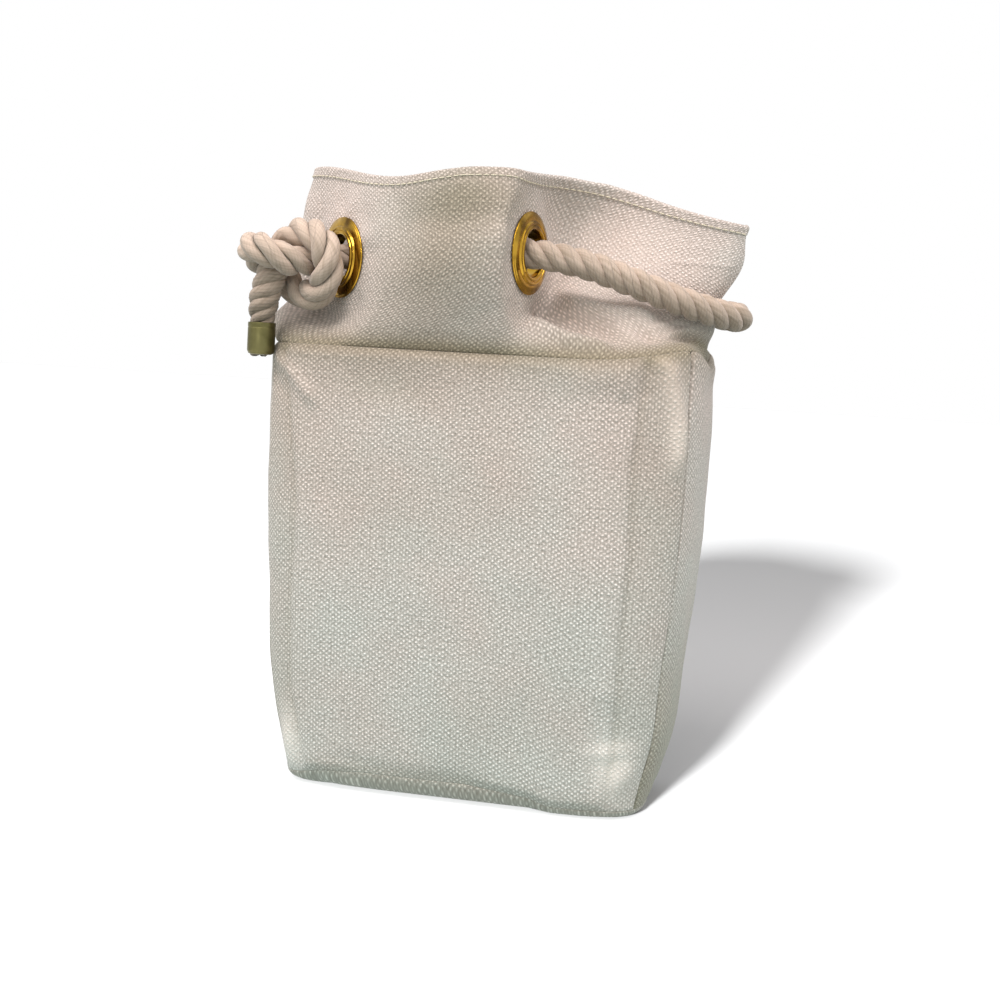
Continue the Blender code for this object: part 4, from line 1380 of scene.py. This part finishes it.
# %% Collar folds
COLLAR_LENGTH = 0.268
COLLAR_STEP = 0.00078
COLLAR_LUMPS = ((0.00090, 0.030), (0.00034, 0.013), (0.00010, 0.0055))
COLLAR_RIDGES = (
    (0.0016, ((0.085, 0.047), (0.120, 0.044), (0.150, 0.046)), 0.012),
    (-0.0012, ((0.080, 0.062), (0.110, 0.060), (0.140, 0.063)), 0.007),
    (-0.0042, ((0.172, 0.030), (0.186, 0.019), (0.214, 0.012)), 0.0056),
    (0.0036, ((0.166, 0.022), (0.182, 0.008), (0.204, 0.003)), 0.0046),
    (0.0056, ((0.186, 0.032), (0.214, 0.025), (0.240, 0.026)), 0.0064),
    (-0.0034, ((0.226, 0.010), (0.240, 0.012), (0.256, 0.016)), 0.0038),
    (0.0010, ((0.225, 0.008), (0.240, 0.016), (0.2525, 0.0215)), 0.0015),
    (0.0008, ((0.223, 0.013), (0.236, 0.020), (0.247, 0.027)), 0.0015),
    (0.0004, ((0.236, 0.056), (0.250, 0.058), (0.266, 0.060)), 0.0012),
    (-0.0016, ((0.030, 0.012), (0.022, 0.028), (0.020, 0.040)), 0.0045),
    (0.0012, ((0.018, 0.006), (0.012, 0.020), (0.010, 0.040)), 0.0040),
)
COLLAR_DENTS = ((-0.0040, (0.2225, 0.0115), (0.0050, 0.0042), 30),)
FLANGE_CLEAR = 0.0185
PUCKER_HEIGHT = 0.00032
PUCKER_BAND = (0.0235, 0.0055)
print("collar folds:", len(COLLAR_RIDGES), "ridges and", len(COLLAR_DENTS), "dent")


def collar_relief(across, up, seed):
    """Lumps of three sizes that are free of any place, and the folds of the tables."""
    height = sum(size * lumps(across, up, width, seed + number)
                 for number, (size, width) in enumerate(COLLAR_LUMPS))
    return height + formed(across, up, COLLAR_RIDGES, COLLAR_DENTS)


def clear_of_eyelets(points):
    """0 under each flange and 1 a centimetre outside it, where the cloth may fold."""
    away = [np.linalg.norm(points - centre, axis=-1) for centre, _ in EYELETS.values()]
    return ease((np.minimum(*away) - FLANGE_CLEAR) / 0.010)


def eyelet_puckers(points, seed):
    """Shallow wrinkles that run away from each flange: a few waves round it, fading outwards."""
    total = np.zeros(points.shape[:-1])
    for number, (centre, axis) in enumerate(EYELETS.values()):
        x, y, _ = axes_at(axis)
        flat = np.stack(((points - centre) @ x, (points - centre) @ y), -1)
        radius, angle = np.linalg.norm(flat, axis=-1), np.arctan2(flat[..., 1], flat[..., 0])
        waves = np.sin(7 * angle + seed + number) + 0.6 * np.sin(12 * angle + 2.0 * seed)
        total += PUCKER_HEIGHT * waves * bell(radius, *PUCKER_BAND)
    return total


# %% [markdown]
# The sheet goes on past what is seen. Below, two rows lead it down behind the panel's curled edge,
# into the seam. Above, it turns over a half circle at the rim and runs down inside as the hem.

# %% Edges of the collar
HEM_RADIUS = 0.0013
HEM_DEPTH = 0.0046
HEM_TURN_ROWS = 12
HEM_DOWN_ROWS = 7
HEM_ROWS = HEM_TURN_ROWS + HEM_DOWN_ROWS
TUCKS = ((0.0009, -0.0030), (0.0004, -0.0009))
print("rows past the cloth that is seen:", len(TUCKS), "below and", HEM_ROWS, "for the hem")


def tucked_rows(row, outward):
    """The lowest row, moved level towards the inside and down by each of the tucks."""
    level_in = -unit(outward * (1.0, 1.0, 0.0))
    return np.array([row + level_in * inward + UP * down for inward, down in TUCKS])


def hem_rows(edge, upward, outward):
    """Over a half circle at the rim, then down inside by the hem's depth."""
    turns = np.linspace(0.0, math.pi, HEM_TURN_ROWS + 1)[1:]
    drops = np.linspace(0.0, HEM_DEPTH, HEM_DOWN_ROWS + 1)[1:]
    over = [edge + HEM_RADIUS * (math.sin(a) * upward - (1 - math.cos(a)) * outward)
            for a in turns]
    down = [over[-1] - drop * upward for drop in drops]
    return np.array(over + down)


def with_edges(values):
    """The same values on the rows tucked below, and half the top row's on the rows of the hem."""
    rows = (values[:1].repeat(len(TUCKS), 0), values, 0.5 * values[-1:].repeat(HEM_ROWS, 0))
    return np.clip(np.concatenate(rows), 0.0, 1.0)


# %% [markdown]
# Broad forms give the collar its outline: it hangs over the seam, leans out and back at the rim,
# and reaches out at both ends. Each is a bell along the cloth or up it: the height in metres, then
# the middle and the spread. The painted shade and the painted highlight are tables of humps too.

# %% Broad forms and marks of the collar
OVERHANG = 0.0006
OVERHANG_HEIGHT = 0.022
END_OVERHANG = 0.0075
LEAN = (0.0050, 0.112, 0.028)
LEAN_BACK = (0.0035, 0.205, 0.036)
END_SWELL = (0.0030, 0.046, 0.014)
TIP_REACHES = ((0.0066, 0.0610, 0.0145), (0.0034, 0.0235, 0.010))
FOOT_REACH = (0.0032, 0.012, 0.009)
REACH_SPREAD = 0.030
# Painted shade between the eyelets and low near the right-hand tip.
COLLAR_SHADE_DENTS = (
    (0.70, (0.110, 0.048), (0.032, 0.034), 0),
    (0.44, (0.120, 0.072), (0.036, 0.012), 0),
    (0.80, (0.256, 0.007), (0.020, 0.010), 0),
)
# Painted highlight on lit places: high at both sides and below the rope at the right.
COLLAR_HIGHLIGHT_DENTS = (
    (0.62, (0.218, 0.052), (0.030, 0.024), 0),
    (0.38, (0.045, 0.062), (0.030, 0.016), 0),
    (0.34, (0.222, 0.018), (0.036, 0.013), 0),
)


def collar_marks(across, rise):
    """Painted shade along the seam and between the eyelets, and painted highlight beside that."""
    # Painted shade along the seam, where the collar turns under.
    shade_and_stain = 0.70 * bell(rise, 0.0, 0.0065) + 0.30 * bell(rise, 0.0, 0.020)
    shade_and_stain += formed(across, rise, dents=COLLAR_SHADE_DENTS)
    painted_highlight = formed(across, rise, dents=COLLAR_HIGHLIGHT_DENTS)
    return {"shade_and_stain": with_edges(shade_and_stain), "painted_highlight": with_edges(painted_highlight)}


def broad_forms(across, rise, free, clear):
    """The overhang above the seam, a lean out between the eyelets, a lean back and a full end."""
    swell = OVERHANG + END_OVERHANG * bell(across, 0.0, 0.026)
    push = swell * np.sin(math.pi * np.clip(rise / OVERHANG_HEIGHT, 0.0, 1.0) ** 0.45)
    upper = np.clip((rise - 0.022) / 0.054, 0.0, 1.0) ** 2
    push += LEAN[0] * upper * bell(across, *LEAN[1:]) * clear
    push -= LEAN_BACK[0] * upper * bell(across, *LEAN_BACK[1:]) * free
    return push + END_SWELL[0] * bell(across, COLLAR_LENGTH, 0.022) * bell(rise, *END_SWELL[1:])


print("broad forms at the tip:", len(TIP_REACHES))

# %% [markdown]
# The collar's grid is made in this order: the plan, the folds and puckers, the broad forms, and
# last the rows of both edges. Near both ends the pushes leave y as it was, and the hem turns in
# straight along x, so the front half and the back half meet in closed side seams.

# %% Collar surface
STITCH_DROP = 0.0040
STITCH_LINE = 0.0005
SIDE_CLOSE = 0.008


def collar_grid(seed):
    """Plan + outward normal * push. Returns the points, their UV map and the marks."""
    shares = spaced(COLLAR_LENGTH, COLLAR_STEP, 0.004) / COLLAR_LENGTH
    up = spaced(COLLAR_HEIGHT, COLLAR_STEP, 0.006) / COLLAR_HEIGHT
    plain = collar_plan(up * (1 - HEM_RADIUS / COLLAR_HEIGHT), shares)
    uv = cloth_uv(plain)
    across = (uv[..., 0] - uv[:, :1, 0]) * COLLAR_LENGTH / np.ptp(uv[..., 0], axis=1)[:, None]
    rise = uv[..., 1]
    from_side = np.minimum(across, COLLAR_LENGTH - across)
    from_rim = rise[-1:] - rise
    clear = clear_of_eyelets(plain)
    free = clear * ease(rise / 0.008) * ease(from_side / 0.006)
    push = collar_relief(across, rise, seed) * free * (0.25 + 0.75 * ease(from_rim / 0.012))
    push += eyelet_puckers(plain, seed) * ease(from_rim / 0.010) * ease(rise / 0.006)
    push += broad_forms(across, rise, free, clear)
    push += STITCH_LINE * ease((STITCH_DROP + 0.0006 - from_rim) / 0.0008)
    push -= STITCH_LINE * bell(from_rim, STITCH_DROP, 0.00045)
    push -= turned_in(from_side)
    points = plain + outward_normals(plain) * push[..., None]
    closed = ease(from_side / SIDE_CLOSE)
    points[..., 1] = closed * points[..., 1] + (1.0 - closed) * plain[..., 1]
    tip = sum(reach * bell(rise, middle, spread) for reach, middle, spread in TIP_REACHES)
    foot = FOOT_REACH[0] * bell(rise, *FOOT_REACH[1:])
    points[..., 0] += tip * bell(across, COLLAR_LENGTH, REACH_SPREAD)
    points[..., 0] -= foot * bell(across, 0.0, REACH_SPREAD)
    normals = outward_normals(points)
    normals[..., 1] *= closed
    normals = unit(normals)
    upward = unit(points[-1] - points[-3])
    rows = (tucked_rows(points[0], normals[0]), points,
            hem_rows(points[-1], upward, normals[-1]))
    points = np.concatenate(rows)
    return points, cloth_uv(points), collar_marks(across, rise)


# %% [markdown]
# Two round holes let the eyelets' stems through. Faces that lie wholly inside a hole go, and the
# points that are left inside move out onto its circle. The hem is sewn with small stitches: slim
# capsules in a row, each with few faces, because there are hundreds of them.

# %% Holes and stitches
HOLE_RADIUS = 0.0118
HOLE_REACH = 0.010
STITCH_PITCH = 0.0031
STITCH_LENGTH = 0.0026
STITCH_RADIUS = 0.00026
STITCH_RINGS = 6
STITCH_SIDES = 6


def hole_cut(points, faces):
    """Leaves out faces inside each eyelet's hole and moves the hole's edge onto a circle."""
    flat = points.reshape(-1, 3).copy()
    inside = np.zeros(len(flat), bool)
    for centre, axis in EYELETS.values():
        away = flat - centre
        along = away @ axis
        across = away - along[:, None] * axis
        radius = np.linalg.norm(across, axis=1)
        hit = (radius < HOLE_RADIUS) & (np.abs(along) < HOLE_REACH)
        inside |= hit
        grown = HOLE_RADIUS / np.maximum(radius, 1e-6)
        moved = centre + along[:, None] * axis + across * grown[:, None]
        flat[hit] = moved[hit]
    return flat, faces[~inside[faces].all(axis=1)]


def stitches(name, line, outward, material):
    """A stitch is a slim capsule: rings whose radius follows sin(t)^0.6 along its length."""
    along = distances_along(line)
    count = int(along[-1] / STITCH_PITCH)
    places = (np.arange(count) + 0.5) * along[-1] / count
    centre = np.stack([np.interp(places, along, line[:, i]) for i in range(3)], 1)
    normal = unit(np.stack([np.interp(places, along, outward[:, i]) for i in range(3)], 1))
    ahead = np.gradient(line, axis=0)
    ahead = unit(np.stack([np.interp(places, along, ahead[:, i]) for i in range(3)], 1))
    side = np.cross(ahead, normal)
    t = np.linspace(0.08, math.pi - 0.08, STITCH_RINGS)
    around = np.linspace(0.0, 2 * math.pi, STITCH_SIDES, endpoint=False)
    run = -np.cos(t) * STITCH_LENGTH / 2
    reach = STITCH_RADIUS * np.sin(t) ** 0.6
    ring = np.cos(around)[None, :, None] * side[:, None, None]
    ring = ring + np.sin(around)[None, :, None] * normal[:, None, None]
    points = centre[:, None, None] + run[None, :, None, None] * ahead[:, None, None]
    points = points + reach[None, :, None, None] * ring
    one = grid_faces(STITCH_RINGS, STITCH_SIDES, wrap_columns=True).tolist()
    first, each = np.arange(STITCH_SIDES), STITCH_RINGS * STITCH_SIDES
    one += [first[::-1].tolist(), (first + each - STITCH_SIDES).tolist()]
    faces = [[corner + each * k for corner in face] for k in range(count) for face in one]
    return piece_from(name, points, faces, material=material)


# %% [markdown]
# Sewing thread is a plain twisted yarn, warmer and smoother than the canvas.

# %% Thread material
def make_thread():
    material, tree, shader = new_material("sewing_thread")
    twist = noise(tree, object_place(tree), 900.0)
    tone = mix_colour(tree, twist, linear(204, 194, 166), linear(228, 220, 198))
    tree.links.new(tone, shader.inputs["Base Color"])
    add_bump(tree, shader, twist, strength=0.3, distance=0.0002)
    shader.inputs["Roughness"].default_value = 0.7
    return material


thread = make_thread()
print("thread material:", thread.name)

# %% [markdown]
# The back half of the collar mirrors the plan of the front half, with its own creases. Mirroring
# turns a mesh inside out, so the columns are reversed as well.

# %% Collar halves with their hem stitches
COLLAR_SEEDS = {"front": 5, "back": 23}
UNSEWN_COLUMNS = 4
STITCH_PROUD = 0.0001

for side, turn in SIDES.items():
    points, uv, marks = collar_grid(COLLAR_SEEDS[side])
    below_rim = uv[-HEM_ROWS - 1, 0, 1] - uv[:, 0, 1]
    stitch_row = int(np.argmin(np.abs(below_rim - STITCH_DROP)))
    sewn = slice(UNSEWN_COLUMNS, -UNSEWN_COLUMNS)
    line, outward = points[stitch_row, sewn], outward_normals(points)[stitch_row, sewn]
    flat, faces = hole_cut(points, grid_faces(*points.shape[:2]))
    if side == "back":
        faces = faces[:, ::-1]
    # Painted light: the whole collar takes the full pinker tint of the lit top.
    cloth = piece_from("canvas_collar_" + side, flat * turn, faces, uv, canvas,
                       {**marks, "painted_light_tint": np.ones(len(flat))})
    give_wall(cloth, CANVAS)
    seam_thread = stitches("hem_stitches_" + side, (line + outward * STITCH_PROUD) * turn,
                           outward * turn, thread)
    for piece in (cloth, seam_thread):
        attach(piece, "bag")
    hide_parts("collar_" + side)
    print("collar", side, "grid:", points.shape[:2], "flat size in mm:",
          [round(1000 * size) for size in sheet_facts(uv)])

# %% [markdown]
# ## Eyelets
#
# A pressed eyelet has a domed outer flange, then a groove, then a stepped ring that turns into
# the hole. A plain washer grips the cloth from behind. The profile below goes round once.

# %% Eyelets and washers
EYELET_DIAMETER = 0.0350
EYELET_BORE = 0.0196
STEM_WALL = 0.0007
FLANGE_THICKNESS = 0.0009
DOME_HEIGHT = 0.0028
DOME_START = 0.0041
DOME_DROP = 0.00112
LIP_ROLL = 0.0011
WASHER_DIAMETER = 0.0326
STEM_ROLL = 0.0016


def eyelet_profile():
    """From the stem's rolled end up through the bore, over lip, groove and ring, down the dome."""
    bore, flange, seat = EYELET_BORE / 2, EYELET_DIAMETER / 2, FIT
    outer = bore + STEM_WALL
    back = -(CANVAS + 2 * FIT + FLANGE_THICKNESS + FIT)
    top = seat + DOME_HEIGHT
    edge = FLANGE_THICKNESS / 2
    profile = [(outer, seat + 0.0002), (outer, back), (outer + STEM_ROLL, back)]
    profile += arc((outer + STEM_ROLL, back - STEM_WALL / 2), STEM_WALL / 2, 90, -90, 5)[1:]
    profile += [(bore + 0.0004, back - STEM_WALL), (bore, back - STEM_WALL + 0.0003)]
    profile += arc((bore + LIP_ROLL, top - LIP_ROLL), LIP_ROLL, 180, 60, 9)
    profile += [(bore + 0.0019, top - 0.00050), (bore + 0.0022, top - 0.00052)]
    profile += arc((bore + 0.0030, top - 0.00088), 0.00062, 150, 40, 6)
    profile += [(bore + 0.0038, top - 0.00110), (bore + DOME_START, top - DOME_DROP)]
    for t in np.linspace(0.0, 1.0, 9)[1:]:
        radius = bore + DOME_START + t * (flange - edge - bore - DOME_START)
        fall = (DOME_HEIGHT - DOME_DROP - 2 * edge) * math.cos(t * math.pi / 2) ** 0.8
        profile.append((radius, seat + 2 * edge + fall))
    profile += arc((flange - edge, seat + edge), edge, 80, -90, 8)
    profile += [(outer + 0.0008, seat), (outer, seat + 0.0002)]
    return profile


def washer_profile():
    """A flat ring whose outer edge is rounded above and below."""
    top, ring = -CANVAS - FIT, WASHER_DIAMETER / 2
    bottom, hole, round_ = top - FLANGE_THICKNESS, EYELET_BORE / 2 + STEM_WALL + FIT, 0.0003
    corners = [(hole, top)]
    corners += arc((ring - round_, top - round_), round_, 90, 0, 4)
    corners += arc((ring - round_, bottom + round_), round_, 0, -90, 4)
    return (corners + [(hole, bottom), (hole, top)])[::-1]


for side, turn in SIDES.items():
    for end, (centre, axis) in EYELETS.items():
        for kind, profile in (("eyelet", eyelet_profile()), ("washer", washer_profile())):
            piece = turned_piece(f"brass_{kind}_{side}_{end}", profile[::-1], centre * turn,
                                 axis * turn, brass)
            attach(piece, "bag")
            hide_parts(f"{kind}_{side}_{end}")
print("eyelet profile points:", len(eyelet_profile()))

# %% [markdown]
# ## The padded lining
#
# Inside, a heat-proof lining covers soft pads. A pad is a closed pillow: an outer face that
# follows the canvas, and an inner face that stands off by a thickness that falls to a thin sewn
# edge. Two rows of quilting draw it in. The lining's weave is the same node group with finer
# thread.

# %% Lining material
LINING_THREADS = 2200.0
PAD = 0.0040
PAD_EDGE = 0.0010
PAD_WIDTH = 0.146
BASE_PAD_WIDTH = 0.118
PAD_SPREAD_SHARE = 0.625
PAD_COLUMNS = 90
PAD_ROWS = 120
QUILT_ROWS = (0.33, 0.66)
QUILT_DEPTH_SHARE = 0.35
BORDER = 0.012
BOARD = 0.0024
BASE_PAD_LEVEL = CANVAS + FIT + BOARD + FIT
WALL_PAD_LEVEL = BASE_PAD_LEVEL + PAD + FIT


def make_lining():
    material, tree, shader = new_material("lining_grey")
    cloth = cloth_place(tree)
    weave = use_group(tree, weave_group, {
        "Cloth": cloth, "Across": LINING_THREADS, "Up": LINING_THREADS, "Wander": 0.2})
    height = weave.outputs["Height"]
    threads = mix_colour(tree, height, linear(168, 169, 168), linear(206, 207, 205))
    shade = mix_colour(tree, noise(tree, cloth, 24.0), threads, linear(192, 190, 184))
    tree.links.new(shade, shader.inputs["Base Color"])
    add_bump(tree, shader, height, strength=0.3, distance=0.0002)
    shader.inputs["Roughness"].default_value = 0.5
    shader.inputs["Metallic"].default_value = 0.15
    return material


lining = make_lining()
print("lining material:", lining.name)

# %% [markdown]
# A pad is thick in its middle and thin at its sewn border. Its two faces are grids of the same
# size, so the strip of faces that joins their borders just pairs the points.

# %% Pad builder
def pad_piece(name, outer):
    """The outer grid, and an inner grid set off along the normals by the pad's thickness.

    The thickness eases from its thin edge to full within a centimetre of the border, and dips by
    a third along each quilting row. A strip of faces joins the two borders.
    """
    rows, columns = outer.shape[:2]
    uv = cloth_uv(outer)
    from_side, from_foot, from_top = from_edges(uv)
    full = np.sqrt(ease(from_side / BORDER) * ease(np.minimum(from_foot, from_top) / BORDER))
    for row in QUILT_ROWS:
        full = full * (1 - QUILT_DEPTH_SHARE * bell(uv[..., 1] / uv[-1, 0, 1], row, 0.012))
    thick = PAD_EDGE + (PAD - PAD_EDGE) * full
    inner = outer - outward_normals(outer) * thick[..., None]
    faces = grid_faces(rows, columns)
    count = rows * columns
    index = np.arange(count).reshape(rows, columns)
    border = np.concatenate((index[0, :-1], index[:-1, -1], index[-1, :0:-1], index[:0:-1, 0]))
    ahead = np.roll(border, -1)
    strip = np.stack((ahead, border, border + count, ahead + count), 1)
    all_faces = np.concatenate((faces, faces[:, ::-1] + count, strip))
    return piece_from(name, np.stack((outer, inner)), all_faces, np.stack((uv, uv)), lining)


# %% [markdown]
# A wall pad's outer grid follows the inside of the canvas. At every height the outline starts
# opposite the pad, so the pad's middle lies half way along it, and both sides are alike.

# %% Pads at the walls
def wall_pad_grid(half_width_at, turned):
    """Rows of the inset outline, each between two places at a distance from the pad's middle.

    The half width is looked up on the quarter of the outline that starts at the pad's middle,
    where the distance from the pad's middle line only grows.
    """
    heights = np.linspace(WALL_PAD_LEVEL, BODY_HEIGHT - CREASE_HEIGHT / 2, PAD_ROWS)
    angles = np.linspace(0.0, 2 * math.pi, OUTLINE_POINTS)
    middle = OUTLINE_POINTS // 2
    quarter = slice(middle, middle + OUTLINE_POINTS // 4 + 1)
    inset = CANVAS + FIT
    rows = []
    for height in heights:
        wide, deep = half_size(height)
        curve = superellipse(wide - inset, deep - inset, angles + turned)
        along = distances_along(curve)
        centre = along[middle]
        reach = half_width_at(height, np.abs(curve[quarter]), along[quarter] - centre)
        places = (centre + np.linspace(-reach, reach, PAD_COLUMNS)) / along[-1]
        plan = resampled(curve, places)
        rows.append(np.column_stack((plan, np.full(len(plan), height))))
    return np.array(rows)


def front_pad_reach(height, curve, places):
    """As far as the pad's own half width, which grows from its foot."""
    spread = ease((height - WALL_PAD_LEVEL) / (BODY_HEIGHT - WALL_PAD_LEVEL) / PAD_SPREAD_SHARE)
    half = (BASE_PAD_WIDTH + (PAD_WIDTH - BASE_PAD_WIDTH) * spread) / 2
    return float(np.interp(half, curve[:, 0], places)) - PAD / 2


def side_pad_reach(height, curve, places):
    """As far as the corner seams, less the canvas and the play."""
    half = GUSSET_WIDTH / 2 * half_size(height)[1] / HALF[1] - CANVAS - FIT
    return float(np.interp(half, curve[:, 1], places)) - PAD / 2


pads = {
    "lining_front": (front_pad_reach, math.pi / 2),
    "lining_right": (side_pad_reach, math.pi),
    "lining_back": (front_pad_reach, 3 * math.pi / 2),
    "lining_left": (side_pad_reach, 0.0),
}
for name, (reach, turned) in pads.items():
    pad = pad_piece("padded_" + name, wall_pad_grid(reach, turned))
    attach(pad, "bag")
    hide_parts(name)
    print(pad.name, "faces:", len(pad.data.polygons))

# %% [markdown]
# The pad on the base is one closed pillow too, made of rings round its middle: out along the
# underside, and back over the crown.

# %% Base pad
BASE_PAD_COLUMNS = 360


def base_pad_rings():
    """Rings from the centre of the underside, round the edge, to the centre of the crown."""
    low = BASE_PAD_LEVEL
    wide, deep = half_size(low)
    leaning = 2 * CANVAS + FIT
    turns = np.linspace(0.0, 2 * math.pi, OUTLINE_POINTS)
    around = superellipse(wide - leaning, deep - leaning, turns)
    plan = resampled(around, np.linspace(0.0, 1.0, BASE_PAD_COLUMNS + 1)[:-1])
    shares = np.linspace(0.03, 1.0, 50)
    crown = PAD_EDGE + (PAD - PAD_EDGE) * np.sqrt(ease((1 - shares) / 0.22))
    rings = [(share, low) for share in shares]
    rings += [(share, low + rise) for share, rise in zip(shares[::-1], crown[::-1])]
    return np.array([np.column_stack((plan * share, np.full(len(plan), height)))
                     for share, height in rings])


base_pad = ring_stack("padded_base", base_pad_rings(), lining, cap_top=True)
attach(base_pad, "bag")
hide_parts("base_pad")
print(base_pad.name, "faces:", len(base_pad.data.polygons))

# %% [markdown]
# The stiffening board keeps its construction solid. Grey board is pressed from paper fibre, so it
# gets a fine mottle and a matt surface.

# %% Board material
def make_board():
    material, tree, shader = new_material("fibre_board")
    fibre = noise(tree, object_place(tree), 300.0, 6.0)
    tone = mix_colour(tree, fibre, linear(150, 128, 98), linear(184, 164, 132))
    tree.links.new(tone, shader.inputs["Base Color"])
    shader.inputs["Roughness"].default_value = 0.85
    return material


board_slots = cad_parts["base_board"].data.materials
board_slots.clear()
board_slots.append(make_board())
print("board material:", board_slots[0].name)

# %% [markdown]
# ## Floor, light and background
#
# The photograph has a pure white background and one long soft shadow on the floor. The floor and
# the world are white only for rays from the camera and for reflections. What lights the bag is a
# plain level: an even sky, a large soft lamp above, two weaker ones at the sides, and a low one
# that makes the shadow. A ray's kind comes from the Light Path node.

# %% World
SKY_LEVEL = 0.70


def ray_is(tree, *kinds):
    """1 for a ray of one of these kinds, and 0 for any other."""
    outputs = add_node(tree, "ShaderNodeLightPath").outputs
    seen = outputs[kinds[0]]
    for kind in kinds[1:]:
        seen = math_node(tree, "MAXIMUM", seen, outputs[kind])
    return seen


def make_world():
    world = bpy.data.worlds.new("studio")
    bpy.context.scene.world = world
    world.use_nodes = True
    tree = world.node_tree
    seen = ray_is(tree, "Is Camera Ray", "Is Glossy Ray", "Is Transmission Ray")
    strength = math_node(tree, "MULTIPLY_ADD", seen, 1.0 - SKY_LEVEL, SKY_LEVEL)
    tree.links.new(strength, tree.nodes["Background"].inputs["Strength"])
    tree.nodes["Background"].inputs["Color"].default_value = (1.0, 1.0, 1.0, 1.0)
    bpy.context.scene.view_settings.view_transform = "Standard"


make_world()
print("sky level:", SKY_LEVEL)

# %% [markdown]
# A lamp in Blender shines down its own -Z. An area lamp is a soft box, and a sun lamp sends
# parallel light, with an angle that makes its shadow's edge soft.

# %% Lamps
def make_lamp(kind, name, place, target, **settings):
    """A lamp at a place, turned so that its -Z points to the target."""
    data = bpy.data.lights.new(name, kind)
    for key, value in settings.items():
        setattr(data, key, value)
    made = bpy.data.objects.new(name, data)
    bpy.context.scene.collection.objects.link(made)
    turned = (Vector(target) - Vector(place)).to_track_quat("-Z", "Y").to_matrix().to_4x4()
    made.matrix_world = Matrix.Translation(place) @ turned
    return made


def low_sun(name, strength):
    """Parallel light that comes from low down in front."""
    return make_lamp("SUN", name, -Vector((0.10, 0.98, -0.264)), (0.0, 0.0, 0.0),
                     angle=math.radians(5.5), energy=strength)


AREA_LAMPS = (
    ("key_lamp", (-0.12, -0.90, 1.34), (0.0, 0.0, 0.12), 0.8, 13.5, (1.0, 0.935, 0.920)),
    ("right_lamp", (0.85, -0.35, 1.00), (0.05, 0.0, 0.18), 0.6, 3.8, (1.0, 0.930, 0.930)),
    ("left_lamp", (-0.85, -0.45, 0.90), (-0.05, 0.0, 0.20), 0.6, 3.2, (1.0, 0.930, 0.930)),
)
for name, place, target, size, power, colour in AREA_LAMPS:
    make_lamp("AREA", name, place, target, shape="DISK", size=size, energy=power, color=colour)
low_sun("low_lamp", 0.20)
print("lamps:", len(AREA_LAMPS), "soft boxes and a low sun")

# %% [markdown]
# The long shadow needs more contrast on the floor than such gentle lamps give, so one more lamp
# shines in the low sun's direction on the floor alone, by light linking. The bag still blocks it.

# %% Floor
FLOOR_SIZE = 12.0
SHADOW_LAMP_STRENGTH = 18.0
FLOOR_SEEN = (0.472, 0.476, 0.48, 1.0)
FLOOR_BOUNCE = (0.22, 0.255, 0.250, 1.0)


def make_floor():
    corners = np.array([(-1, -1, 0), (1, -1, 0), (1, 1, 0), (-1, 1, 0)], float) * FLOOR_SIZE / 2
    floor = piece_from("floor", corners, [[0, 1, 2, 3]])
    material, tree, shader = new_material("floor_white")
    shader.inputs["Roughness"].default_value = 0.95
    shader.inputs["Specular IOR Level"].default_value = 0.0
    seen = ray_is(tree, "Is Camera Ray", "Is Glossy Ray")
    shade = mix_colour(tree, seen, FLOOR_BOUNCE, FLOOR_SEEN)
    tree.links.new(shade, shader.inputs["Base Color"])
    floor.data.materials.append(material)
    return floor


floor = make_floor()
floor_only = bpy.data.collections.new("lit_by_shadow_lamp")
floor_only.objects.link(floor)
shadow_lamp = low_sun("shadow_lamp", SHADOW_LAMP_STRENGTH)
shadow_lamp.light_linking.receiver_collection = floor_only
print("floor made, lit by its own lamp for the shadow")

# %% [markdown]
#
# Last, the view layer is brought up to date, so that every piece's place is worked out.

# %% Update
bpy.context.view_layer.update()
